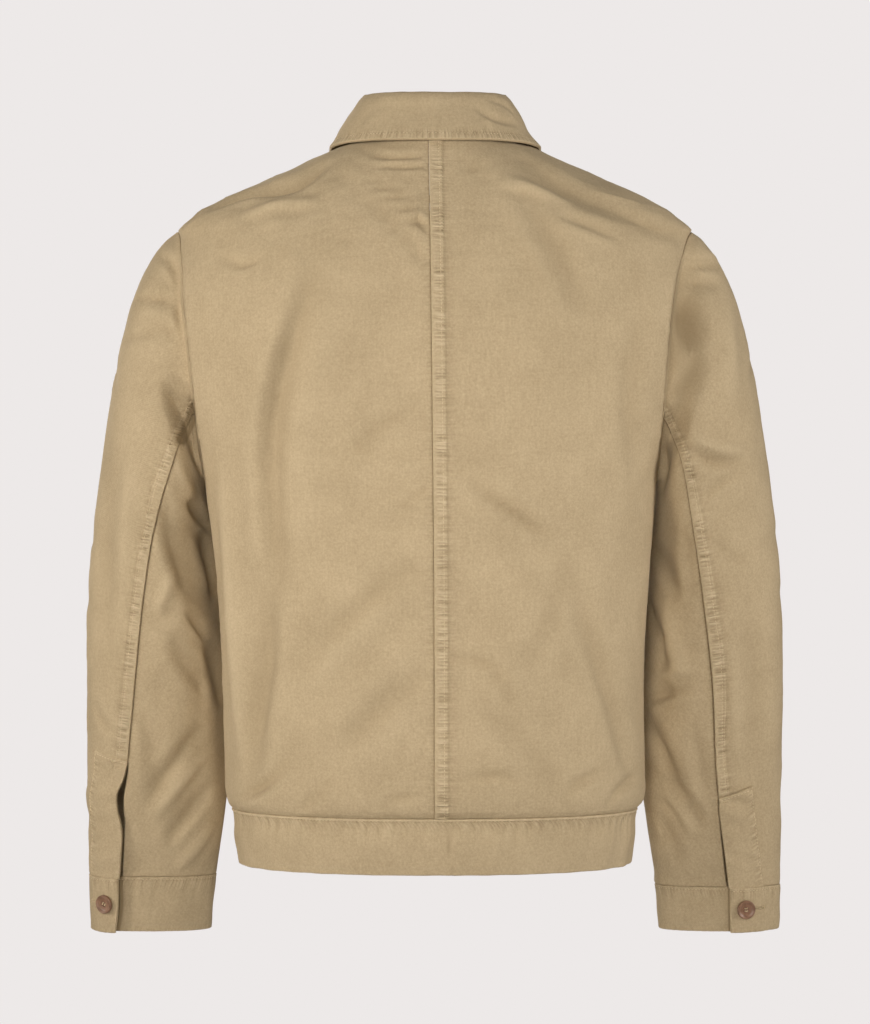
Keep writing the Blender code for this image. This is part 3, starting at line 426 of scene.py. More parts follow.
# side, ring, degrees round, half-length in rings, half-width in degrees, lean, depth
sleeveHollows = (
    ("left", 5.2, 134.0, 2.0, 21.0, -6.0, 8.0),
    ("left", 8.6, 142.0, 2.2, 20.0, -3.0, 8.0),
    ("left", 11.6, 128.0, 1.6, 16.0, -6.0, 5.0),
    ("left", 4.6, 236.0, 2.4, 20.0, 7.0, 7.0),
    ("left", 9.5, 258.0, 1.6, 24.0, 12.0, 5.5),
    ("right", 5.6, 139.0, 2.4, 20.0, -5.0, 7.5),
    ("right", 9.0, 146.0, 2.0, 20.0, -3.0, 8.0),
    ("right", 12.2, 138.0, 1.8, 18.0, -9.0, 6.0),
    ("right", 4.9, 232.0, 2.2, 20.0, 7.0, 7.0),
    ("right", 9.0, 262.0, 1.6, 22.0, 11.0, 5.5),
)

# fold of the collar: station, x, y, z, from the middle of the back to the front
collarFoldRows = np.array((
    (0.0, 0.0, 59.0, 43.8), (0.35, 34.5, 51.0, 44.6), (0.7, 56.0, 27.0, 45.6),
    (1.0, 60.6, 0.0, 45.0), (1.25, 60.5, -24.0, 24.0), (1.5, 52.0, -46.0, -5.0),
    (1.75, 30.5, -63.0, -26.0), (2.0, 1.2, -71.0, -36.0),
))
collarEdgeRows = np.array((
    (1.0, 95.5, -3.6), (1.2, 99.5, -17.5), (1.4, 98.0, -37.0),
    (1.6, 88.0, -60.0), (1.8, 69.0, -82.0), (2.0, 46.0, -98.0),
))
collarSize = {"edgeBack": -3.0, "edgeSide": -3.6, "off": 3.4, "cloth": 2.2}


def curve(rows, column, at):
    x, y = rows[:, 0], rows[:, column]
    step = np.diff(x)
    rise = np.diff(y) / step
    middle = (step[1:] * rise[:-1] + step[:-1] * rise[1:]) / (step[1:] + step[:-1])
    slope = np.concatenate((rise[:1], middle, rise[-1:]))
    at = np.clip(np.asarray(at, float), x[0], x[-1])
    i = np.clip(np.searchsorted(x, at, side="right") - 1, 0, len(x) - 2)
    t = (at - x[i]) / step[i]
    return (
        y[i] * (1 + 2 * t) * (1 - t) ** 2
        + slope[i] * step[i] * t * (1 - t) ** 2
        + y[i + 1] * t**2 * (3 - 2 * t)
        + slope[i + 1] * step[i] * t**2 * (t - 1)
    )


def eased(t):
    t = np.clip(t, 0, 1)
    return t * t * (3 - 2 * t)


def mix(a, b, t):
    return a + (b - a) * t


def signedPower(value, power):
    return np.sign(value) * np.abs(value) ** power


def unit(vectors):
    return vectors / np.maximum(np.linalg.norm(vectors, axis=-1, keepdims=True), 1e-9)


def ridge(travel, at, wide):
    # a smooth rise, highest at one place along travel
    return np.exp(-((travel - at) / wide) ** 2)


def fade(travel, reach):
    return np.exp(-travel / reach)


def mirrored(side):
    return np.array((-1.0 if side == "right" else 1.0, 1, 1))


def columnOf(side, left):
    # the tables give the left side first and the right in the next column
    return left + (side == "right")


def squareness(z):
    return curve(bodyRows, 5, z)


def bodyDepth(face, z):
    return curve(bodyRows, 3 if face == "back" else 4, z)


def armholeRound(z):
    middle = (form["underarm"] + form["shoulder"]) / 2
    half = (form["shoulder"] - form["underarm"]) / 2
    return np.sqrt(np.clip(1 - ((z - middle) / half) ** 2, 0, 1))


def armholeX(side, face, z):
    across = curve(armholeRows, columnOf(side, 1), z)
    cut = form["armholeCut"] if face == "front" else 0.0
    return across - cut * armholeRound(z) ** 2


def armholeY(face, z):
    reach = form["armholeBack"] if face == "back" else form["armholeFront"]
    return reach * armholeRound(z) ** 1.2


def halfWidth(side, face, z):
    z = np.asarray(z, float)
    below = curve(bodyRows, columnOf(side, 1), z)
    above = curve(shoulderRows, 1, z)
    n = squareness(z)
    share = np.clip(armholeY(face, z) / bodyDepth(face, z), 0, 0.98)
    beside = armholeX(side, face, z) / (1 - share**n) ** (1 / n)
    return np.where(z <= form["underarm"], below, np.where(z >= form["shoulder"], above, beside))


def bodyY(side, face, x, z):
    n = squareness(z)
    share = np.clip(np.abs(x) / halfWidth(side, face, z), 0, 1)
    away = np.maximum(bodyDepth(face, z) * (1 - share**n) ** (1 / n), form["gap"] / 2)
    return away if face == "back" else -away


def bodyNormal(side, face, x, y, z):
    def outside(x, y, z):
        n = squareness(z)
        return (np.abs(x) / halfWidth(side, face, z)) ** n + (np.abs(y) / bodyDepth(face, z)) ** n

    e = 0.05
    return unit(np.stack((
        outside(x + e, y, z) - outside(x - e, y, z),
        outside(x, y + e, z) - outside(x, y - e, z),
        outside(x, y, z + e) - outside(x, y, z - e),
    ), axis=-1))


def sleeveRaw(side, ring, turn):
    ring, turn = np.broadcast_arrays(np.asarray(ring, float), np.asarray(turn, float))
    outerX = curve(sleeveTable, columnOf(side, 1), ring)
    innerX = curve(sleeveTable, columnOf(side, 4), ring)
    outerZ, innerZ, middleY, back, front, n = (
        curve(sleeveTable, k, ring) for k in (3, 6, 7, 8, 9, 10)
    )
    along = signedPower(np.cos(turn), 2 / n)
    across = signedPower(np.sin(turn), 2 / n)
    x = (outerX + innerX) / 2 + (outerX - innerX) / 2 * along
    z = (outerZ + innerZ) / 2 + (outerZ - innerZ) / 2 * along
    y = middleY + np.where(across > 0, back, front) * across
    middle = (form["underarm"] + form["shoulder"]) / 2
    level = middle + (form["shoulder"] - form["underarm"]) / 2 * np.cos(turn)
    lowest = armholeRows[0, columnOf(side, 1)]
    straight = mix(lowest, form["shoulderWide"], (1 + np.cos(turn)) / 2)
    behind = np.sin(turn) > 0
    bow = np.where(behind, armholeX(side, "back", level), armholeX(side, "front", level)) - straight
    x = x + bow * eased(1 - ring / 4.5)
    cut = np.where(behind, armholeY("back", level), -armholeY("front", level))
    oval = np.where(behind, form["armholeBack"], form["armholeFront"]) * np.sin(turn)
    y = y + (cut - oval) * eased(1 - ring / 3.0)
    beside = eased((-np.cos(turn) - 0.2) / 0.6)
    x = x + form["clear"] * beside * eased(ring / 0.6) * eased((5.0 - ring) / 3.0)
    return np.stack((x, y, z), axis=-1)


def hollow(side, ring, turn):
    degrees = np.degrees(turn) % 360
    total = np.zeros(np.broadcast(ring, turn).shape)
    for where, atRing, atTurn, long, wide, lean, deep in sleeveHollows:
        if where == side:
            along = (ring - atRing) / long
            across = (degrees - atTurn - lean * (ring - atRing)) / wide
            total = total + deep * np.exp(-(along**2) * 1.2 - across**2 * 1.2)
    return total * eased(ring / 2.0) * eased((15.0 - ring) / 2.0)


def facingOf(surface, side, ring, turn):
    e = 0.01
    roundBy = surface(side, ring, turn + e) - surface(side, ring, turn - e)
    below, above = np.minimum(ring + e, lastRing), np.maximum(ring - e, 0.0)
    downBy = surface(side, below, turn) - surface(side, above, turn)
    return unit(np.cross(downBy, roundBy))


def sleevePoint(side, ring, turn):
    facing = facingOf(sleeveRaw, side, ring, turn)
    return sleeveRaw(side, ring, turn) - facing * hollow(side, ring, turn)[..., None]


def sleeveNormal(side, ring, turn):
    return facingOf(sleevePoint, side, ring, turn)


def ringAtHeight(side, z, turn):
    z, turn = np.broadcast_arrays(np.asarray(z, float), np.asarray(turn, float))
    low, high = np.full(z.shape, 8.0), np.full(z.shape, lastRing)
    for _ in range(18):
        middle = (low + high) / 2
        above = sleeveRaw(side, middle, turn)[..., 2] > z
        low, high = np.where(above, middle, low), np.where(above, high, middle)
    return (low + high) / 2


def seamTurn(side, ring):
    return np.radians(curve(seamRows, columnOf(side, 1), ring))


def turnFor(side, ring, turn, length):
    e = 0.01
    span = sleevePoint(side, ring, turn + e) - sleevePoint(side, ring, turn - e)
    return length * 2 * e / np.linalg.norm(span, axis=-1)


def smoothPath(marks, count=10):
    marks = np.asarray(marks, float)
    if len(marks) == 2:
        t = np.linspace(0, 1, count)[:, None]
        return mix(marks[0], marks[1], t)
    rows = np.column_stack((np.arange(len(marks)), marks))
    at = np.linspace(0, len(marks) - 1, count * (len(marks) - 1) + 1)
    return np.stack([curve(rows, k + 1, at) for k in range(marks.shape[1])], axis=-1)


def seenFrom(points, view):
    if view == "photo":
        scale = studio["focalPixels"] / (studio["distance"] - points[..., 1])
        return np.stack((
            studio["middle"][0] - points[..., 0] * scale,
            studio["middle"][1] + (studio["height"] - points[..., 2]) * scale,
        ), axis=-1)
    if view == "front":
        return points[..., (0, 2)]
    return points[..., (1, 2)]


def foldField(points, normals, folds, samples):
    # height of the folds at each point, from marks laid on the surface that a view sees
    flat = points.reshape(-1, 3)
    facing = normals.reshape(-1, 3)
    total = np.zeros(len(flat))
    rows = [(view, *row) for view, group in folds.items() for row in group]
    for view, wide, deep, lean, *marks in rows:
        laid = smoothPath(marks)
        seen = samples[view]
        flatView = seenFrom(seen, view)
        path = np.empty((len(laid), 3))
        for k, mark in enumerate(laid):
            apart = flatView - mark
            square = (apart**2).sum(axis=1)
            weight = np.exp(-(square - square.min()) / 128) * (square < square.min() + 500)
            kept = weight > 1e-3
            root = np.sqrt(weight[kept])[:, None]
            design = np.column_stack((np.ones(kept.sum()), apart[kept]))
            path[k] = np.linalg.lstsq(design * root, seen[kept] * root, rcond=None)[0][0]
        for _ in range(4):
            path[1:-1] = (path[:-2] + 2 * path[1:-1] + path[2:]) / 4
        reach = wide * 3.2
        low, high = path.min(axis=0) - reach, path.max(axis=0) + reach
        near = np.nonzero(((flat > low) & (flat < high)).all(axis=1))[0]
        if len(near) == 0:
            continue
        here = flat[near]
        steps = np.linalg.norm(np.diff(path, axis=0), axis=1)
        begun = np.concatenate(([0.0], np.cumsum(steps)))
        best = np.full(len(near), 1e9)
        along, beside = np.zeros(len(near)), np.zeros(len(near))
        for k in range(len(path) - 1):
            run = path[k + 1] - path[k]
            span = run @ run
            if span < 1e-6:
                continue
            t = np.clip((here - path[k]) @ run / span, 0, 1)
            away = here - (path[k] + t[:, None] * run)
            gap = np.linalg.norm(away, axis=1)
            closer = gap < best
            best = np.where(closer, gap, best)
            along = np.where(closer, (begun[k] + t * steps[k]) / begun[-1], along)
            cross = np.cross(facing[near], run / math.sqrt(span))
            beside = np.where(closer, (away * cross).sum(axis=1), beside)
        skewed = best / (wide * np.where(beside > 0, 1 + lean, 1 - lean))
        rise = np.exp(-(skewed**2)) - 0.22 * np.exp(-((skewed - 1.9) ** 2))
        shown = eased(np.abs(facing[near, 0 if view == "side" else 1]) / 0.4)
        total[near] += deep * rise * shown * np.sin(math.pi * np.clip(along, 0.0, 1.0)) ** 0.7
    return total.reshape(points.shape[:-1])


def ripple(points, size, seed, stretch=(1.0, 1.0, 1.0), count=16):
    draw = np.random.default_rng(seed)
    way = draw.normal(size=(count, 3))
    way /= np.linalg.norm(way, axis=1, keepdims=True)
    way = way / np.array(stretch) * (2 * math.pi / size) * draw.uniform(0.65, 1.45, (count, 1))
    begin = draw.uniform(0, 2 * math.pi, count)
    total = np.zeros(points.shape[:-1])
    for k in range(count):
        total += np.sin(points @ way[k] + begin[k])
    return total * math.sqrt(2 / count)


def wobble(s, pitch, seed, count=7):
    draw = np.random.default_rng(seed)
    total = np.zeros(np.shape(s))
    for _ in range(count):
        wave = 2 * math.pi * s / (pitch * draw.uniform(0.72, 1.5))
        total = total + np.sin(wave + draw.uniform(0, 6.28))
    return total * math.sqrt(2 / count)


def lengths(grid, axis):
    steps = np.linalg.norm(np.diff(grid, axis=axis), axis=-1)
    zero = np.zeros_like(np.take(steps, [0], axis=axis))
    return np.concatenate((zero, np.cumsum(steps, axis=axis)), axis=axis)


def fromEnd(travel, axis):
    return np.take(travel, [-1], axis=axis) - travel


def rolled(distance, radius, amount):
    near = np.clip(1 - distance / radius, 0, 1)
    return -amount * (1 - np.sqrt(1 - near**2))


def spots(length, step, *fine):
    count = max(2, int(round(length / step)))
    found = list(np.linspace(0, length, count + 1))
    for place, offsets in fine:
        found += [place + offset for offset in offsets]
    found = np.unique(np.round(np.clip(found, 0, length), 4))
    keep = [found[0]]
    for value in found[1:]:
        if value - keep[-1] > 0.12:
            keep.append(value)
    keep[-1] = length
    return np.array(keep)


# z, how far the inner side of the arm falls away behind the edge of the body, and how
# wide that hollow is
tuckedRows = {
    "left": np.array((
        (-640.0, 0.0, 8.0), (-600.0, 9.0, 8.0), (-540.0, 15.0, 9.0), (-470.0, 18.0, 10.0),
        (-430.0, 20.0, 12.0), (-400.0, 33.0, 17.0), (-345.0, 33.0, 18.0), (-320.0, 18.0, 13.0),
        (-290.0, 13.0, 12.0), (-262.0, 16.0, 9.0), (-226.0, 12.0, 9.0), (-206.0, 0.0, 9.0),
    )),
    "right": np.array((
        (-620.0, 0.0, 8.0), (-560.0, 6.0, 8.0), (-505.0, 7.0, 8.0), (-485.0, 6.0, 8.0),
        (-450.0, 6.0, 9.0), (-408.0, 11.0, 12.0), (-368.0, 27.0, 18.0), (-335.0, 18.0, 13.0),
        (-300.0, 18.0, 11.0), (-258.0, 20.0, 11.0), (-228.0, 9.0, 12.0), (-206.0, 0.0, 12.0),
    )),
}
# the pocket of cloth at the foot of the left armhole: x and z of its ends, its depth and
# width, and how dark and wide its painted shade is
pocket = {
    "from": (212.0, -232.0),
    "to": (224.5, -262.0),
    "deep": 9.0,
    "wide": 6.0,
    "shade": 1.9,
    "shadeWide": 4.6,
}


def settled(points):
    # the cloth lies a little lower over the shoulders than the solids' even form
    x, z = points[..., 0], points[..., 2]
    far = np.abs(x)
    moved = points.copy()
    moved[..., 2] -= 2.2 * eased((far - 75) / 50) * eased((z + 80) / 50)
    cap = 6.4 * ridge(z, -55, 16) + 2.4 * eased((-60 - z) / 20) * eased((z + 142) / 40)
    cap = cap * (1 - 0.9 * ridge(z, -74, 7))
    moved[..., 0] -= np.sign(x) * cap * eased((far - 205) / 26)
    nape = np.where(x < 0, 3.6 * ridge(z, 13, 13), 2.6 * ridge(z, 6, 9))
    moved[..., 0] -= np.sign(x) * nape * eased((far - 52) / 20)
    left = eased((x - 262) / 26) * (x > 0)
    moved[..., 0] += left * (1.4 * ridge(z, -250, 42) + 3.4 * ridge(z, -588, 20))
    return moved


def activate(piece):
    bpy.ops.object.select_all(action="DESELECT")
    piece.select_set(True)
    bpy.context.view_layer.objects.active = piece


def cellNormals(outer):
    return np.cross(outer[1:, :-1] - outer[:-1, :-1], outer[:-1, 1:] - outer[:-1, :-1])


def sheetMesh(name, outer, facing, thick, maps, rubbed, puckered, alongSeam, material):
    # a closed shell of one cloth: its outer face, its inner face and the rim between them
    across, along = maps
    rows, columns = outer.shape[:2]
    count = rows * columns
    inner = outer - facing * thick
    points = settled(np.concatenate((outer.reshape(-1, 3), inner.reshape(-1, 3)))) * mm
    index = np.arange(count).reshape(rows, columns)
    a, b, c, d = index[:-1, :-1], index[:-1, 1:], index[1:, 1:], index[1:, :-1]
    top = np.stack((a, b, c, d), axis=-1).reshape(-1, 4)
    under = np.stack((d, c, b, a), axis=-1).reshape(-1, 4) + count
    loop = np.concatenate((index[0, :-1], index[:-1, -1], index[-1, :0:-1], index[:0:-1, 0]))
    after = np.roll(loop, -1)
    rim = np.stack((after, loop, loop + count, after + count), axis=-1)
    faces = np.concatenate((top, under, rim))
    if (cellNormals(outer) * facing[:-1, :-1]).sum() > 0:
        faces = faces[:, ::-1]
    mesh = bpy.data.meshes.new(name)
    mesh.from_pydata(points.tolist(), [], faces.tolist())
    piece = bpy.data.objects.new(name, mesh)
    bpy.context.scene.collection.objects.link(piece)
    mesh.materials.append(material)
    flat = np.stack((across, along), axis=-1).reshape(-1, 2) / 100
    flat = np.concatenate((flat, flat))
    corner = np.empty(len(mesh.loops), np.int32)
    mesh.loops.foreach_get("vertex_index", corner)
    layer = mesh.uv_layers.new(name="cloth")
    layer.data.foreach_set("uv", flat[corner].astype(np.float32).ravel())
    if alongSeam is None:
        alongSeam = along if material == cloth else across
    marks = {"rubbed": rubbed, "puckered": puckered, "alongSeam": alongSeam / 100}
    for label, values in marks.items():
        paintedTone = mesh.attributes.new(label, "FLOAT", "POINT")
        values = np.broadcast_to(values, (rows, columns)).ravel()
        paintedTone.data.foreach_set("value", np.concatenate((values, values * 0)).astype(np.float32))
    activate(piece)
    bpy.ops.object.shade_smooth_by_angle(angle=math.radians(50))
    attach(piece, "root")
    return piece


def layCloth(name, base, facing, shape, thick, maps, rubbed, puckered, material, flat, **more):
    # base is the even form, and shape is how far the cloth stands out from it. Flat, the
    # size of the cut in metres, is not used. A piece may give its own alongSeam and drawn; held and
    # rests are not used.
    outer = more.get("drawn", base + facing * shape[..., None])
    alongSeam = more.get("alongSeam")
    piece = sheetMesh(name, outer, facing, thick, maps, rubbed, puckered, alongSeam, material)
    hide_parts(name)
    return outer, facing


def neckLine(face, share):
    share = np.asarray(share, float)
    if face == "back":
        z = form["backNeck"] - (form["backNeck"] - form["sideNeck"]) * share**2
        return curve(shoulderRows, 1, z) * np.sin(share * math.pi / 2) ** 0.97, z
    z = form["sideNeck"] + (form["frontNeck"] - form["sideNeck"]) * np.cos(share * math.pi / 2)
    return form["neckWide"] * np.sin(share * math.pi / 2), z


def topLine(face, share):
    neckX, neckZ = neckLine(face, np.clip(share / form["neckShare"], 0, 1))
    out = np.clip((share - form["neckShare"]) / (1 - form["neckShare"]), 0, 1)
    z = curve(shoulderRows[::-1, ::-1], 1, mix(form["neckWide"], form["shoulderWide"], out))
    x = curve(shoulderRows, 1, z)
    onNeck = share < form["neckShare"]
    return np.where(onNeck, neckX, x), np.where(onNeck, neckZ, z)


def centreEdge(side):
    way = 1.0 if side == "left" else -1.0
    return lambda z: way * float(curve(centreRows, 1, z)) + form["gap"] / 2


def frontEdge(z):
    return -form["frontLap"]


# Columns are this far from the edge at the middle, and then shares of the way to the side.
# Stitched is how far a row of stitches is from the edge.
panels = {
    "back_left": {
        "side": "left", "face": "back", "edge": centreEdge("left"),
        "rowStep": 1.4, "columns": (11, 27),
        "near": (0.0, 0.25, 0.6, 1.1, 1.9, 3.0, 4.4, 6.2, 8.6, 12.0),
        "flat": (0.296, 0.667),
    },
    "back_right": {
        "side": "right", "face": "back", "edge": centreEdge("right"),
        "rowStep": 1.4, "columns": (11, 27),
        "near": (0.0, 0.2, 0.5, 1.0, 1.8, 2.8, 3.9, 5.0, 6.1, 7.1, 7.9, 8.5, 9.3, 10.1, 10.6,
                 11.2, 12.1, 13.6),
        "stitched": 8.5, "flat": (0.294, 0.667),
    },
    "front_left": {
        "side": "left", "face": "front", "edge": frontEdge,
        "rowStep": 2.2, "columns": (11, 25),
        "near": (0.0, 0.25, 0.7, 1.4, 2.6, 4.2, 5.3, 6.0, 6.7, 8.0, 10.0, 12.5),
        "stitched": 6.0, "flat": (0.333, 0.649),
    },
    "front_right": {
        "side": "right", "face": "front", "edge": frontEdge,
        "rowStep": 2.2, "columns": (11, 25),
        "near": (0.0, 0.25, 0.7, 1.4, 4.0, 8.0, 12.5, 16.0, 20.0, 24.0, 28.0),
        "stitched": 6.0, "flat": (0.341, 0.648),
    },
}


def panelGrid(panel):
    side, face, edge, near = (panel[k] for k in ("side", "face", "edge", "near"))
    neckColumns, sideColumns = panel["columns"]
    share = form["neckShare"]
    shares = np.concatenate((
        np.linspace(0, share, neckColumns + 1),
        np.linspace(share, 1, sideColumns + 1)[1:-1],
        1 - np.array((0.022, 0.014, 0.008, 0.0035, 0.0)),
    ))
    shares = np.unique(shares)
    low = form["bandTop"] + 0.1
    levels = [(low + v, None) for v in
              spots(form["underarm"] - low, panel["rowStep"], (0, (0.3, 0.8, 1.5, 2.4)))]
    rise = np.unique(np.concatenate((np.linspace(0, 1, int(307 / panel["rowStep"])),
                                     1 - np.array((0.0008, 0.002, 0.0045, 0.008)))))
    levels += [(form["underarm"], up) for up in rise[1:]]
    gridX, gridZ = [], []
    for level, up in levels:
        n = squareness(level)
        begin = edge(level) + near[-1]
        wide = halfWidth(side, face, level)
        first = np.arcsin(np.clip(signedPower(begin / wide, n / 2), -1, 1))
        x = wide * signedPower(np.sin(mix(first, math.pi / 2, shares)), 2 / n)
        z = np.full(len(shares), level)
        if up is not None:
            topX, topZ = topLine(face, shares)
            topX[0] = edge(topZ[0]) + near[-1]
            z = mix(form["underarm"], topZ, up)
            x = mix(x, topX, up)
            fit = armholeX(side, face, z[-1]) / x[-1]
            x = x * (1 + (fit - 1) * shares**2)
        close = np.array([edge(z[0]) + gap for gap in near[:-1]])
        gridX.append(np.concatenate((close, x)))
        gridZ.append(np.concatenate((np.full(len(close), z[0]), z)))
    x, z = np.array(gridX), np.array(gridZ)
    y = bodyY(side, face, x, z)
    facing = bodyNormal(side, face, x, y, z)
    points = np.stack((x, y, z), axis=-1)
    away = x - x[:, :1]
    upper = len(levels) - len(rise[1:])
    return points * mirrored(side), facing * mirrored(side), away, upper


# Folds by the view that their marks are in: half-width, height, lean, which makes one side
# steeper, and the marks. Photo marks are pixels of the picture, front marks are x and z.
bodyFolds = {
    "photo": (
        (12, -3, 0.25, (316, 262), (298, 315), (282, 372), (270, 440), (271, 530), (284, 606)),
        (13, -2.2, -0.2, (262, 560), (268, 640), (256, 745), (262, 800)),
        (11, 1.8, 0.1, (221, 455), (230, 560), (240, 700), (246, 776)),
        (3.6, -1.5, 0.3, (372, 176), (402, 202), (428, 234)),
        (3.4, 1, 0, (392, 190), (412, 210), (432, 222)),
        (5, -1.2, 0.2, (366, 196), (392, 226), (424, 262)),
        (3.2, -1.3, 0.3, (360, 150), (386, 158), (424, 156)),
        (2.6, -0.8, 0.3, (378, 165), (404, 168), (426, 166)),
        (7.5, -2.8, 0.3, (206, 214), (246, 196), (296, 186), (330, 164)),
        (6, 1.2, 0, (240, 214), (282, 203), (322, 200)),
        (6, -2.6, 0.2, (188, 226), (202, 214), (222, 198)),
        (4, -0.9, 0.2, (218, 254), (240, 266), (262, 258)),
        (5, -1.3, 0.2, (344, 462), (372, 434), (408, 410)),
        (4, -1, 0.2, (352, 448), (386, 452), (414, 462)),
        (3.4, -0.8, 0.2, (396, 512), (412, 500), (432, 486)),
        (9, -1.2, 0.1, (330, 640), (372, 596), (416, 560)),
        (10, -1.4, 0.2, (336, 760), (378, 712), (428, 672)),
        (9, 1, 0, (300, 700), (350, 640), (392, 604)),
        (5.4, -1.8, 0.3, (464, 478), (500, 506), (556, 544)),
        (10, -1.5, 0.2, (556, 540), (584, 622), (612, 712), (632, 790)),
        (4.4, -1.3, 0.3, (456, 658), (492, 670), (512, 712)),
        (9, -1, 0.1, (470, 700), (520, 742), (560, 790)),
        (13, -1.9, -0.3, (506, 148), (556, 180), (606, 206), (664, 232)),
        (3.4, 0.7, 0.1, (585, 190), (628, 203), (660, 211), (680, 219)),
        (8, -1, 0.1, (622, 210), (652, 226), (690, 240)),
        (10, -1.4, 0.2, (520, 190), (552, 246), (584, 318)),
        (6, -1.2, 0.2, (556, 214), (590, 226), (620, 240)),
        (4, -0.9, 0.2, (452, 152), (470, 166), (488, 186)),
        (6, 1.1, 0, (500, 180), (540, 190), (576, 204)),
        (8, -1.1, 0.1, (566, 560), (548, 618), (520, 672)),
        (4.5, -0.9, 0.2, (460, 786), (490, 776), (520, 784)),
        (5, -1.5, 0.3, (242, 800), (266, 786), (290, 764)),
        (4, -1.2, 0.3, (300, 812), (318, 796), (330, 778)),
        (5, -1.2, 0.3, (560, 806), (576, 788), (604, 770)),
        (5, -1.2, 0.2, (604, 812), (618, 792), (636, 776)),
        (4, -0.9, 0.2, (380, 814), (396, 800), (420, 796)),
        (12, -1.2, 0.1, (640, 300), (628, 396), (636, 480)),
    ),
    "front": (
        (12, -3, 0.2, (150, -96), (128, -170), (92, -250)),
        (9, -2.2, 0.2, (178, -150), (150, -230), (118, -300)),
        (9, -2.4, 0.3, (196, -250), (158, -300), (100, -322)),
        (11, -2, 0.2, (190, -318), (150, -350), (112, -410)),
        (12, -2.2, 0.2, (120, -420), (108, -500), (128, -580)),
        (9, -1.4, 0.1, (60, -470), (54, -540), (66, -586)),
        (10, -1.4, 0.2, (40, -120), (66, -190), (60, -270)),
        (4, -1, 0.3, (24, -184), (40, -196), (70, -200)),
        (4.4, -1.2, 0.3, (22, -284), (46, -300), (84, -310)),
        (4.4, -1.1, 0.3, (22, -386), (44, -398), (70, -420)),
        (4.6, -1, 0.3, (24, -484), (50, -492), (84, -486)),
        (12, -2.8, 0.2, (-150, -96), (-122, -166), (-84, -236)),
        (9, -2.4, 0.2, (-182, -160), (-146, -226), (-108, -310)),
        (9, -2.2, 0.3, (-190, -262), (-150, -296), (-92, -318)),
        (11, -2, 0.2, (-184, -330), (-150, -368), (-120, -430)),
        (12, -2.2, 0.2, (-116, -410), (-100, -490), (-124, -582)),
        (9, -1.5, 0.1, (-56, -450), (-60, -530), (-50, -586)),
        (10, -1.4, 0.2, (-46, -130), (-62, -210), (-52, -280)),
        (5, -1.1, 0.3, (-30, -330), (-60, -340), (-96, -332)),
        (6, -1.6, 0.2, (160, -520), (140, -556), (150, -588)),
        (6, -1.6, 0.2, (-160, -500), (-146, -550), (-152, -588)),
    ),
}

grids = {name: panelGrid(panel) for name, panel in panels.items()}
bodySamples = {
    view: np.concatenate([
        grids[face + side][0][::every, ::2].reshape(-1, 3) for side in ("_left", "_right")
    ])
    for view, face, every in (("photo", "back", 3), ("front", "front", 2))
}


def clothRipple(points, seed):
    # low, uneven waviness that washed twill keeps everywhere
    patch = 0.55 + 0.45 * np.clip(ripple(points, 170.0, seed + 7, count=8), -1, 1)
    total = 0.7 * ripple(points, 95.0, seed, (1.0, 1.0, 1.6))
    total = total + 0.34 * patch * ripple(points, 34.0, seed + 1)
    total = total + 0.12 * patch * ripple(points, 13.0, seed + 2)
    return total + 0.035 * ripple(points, 6.0, seed + 3)


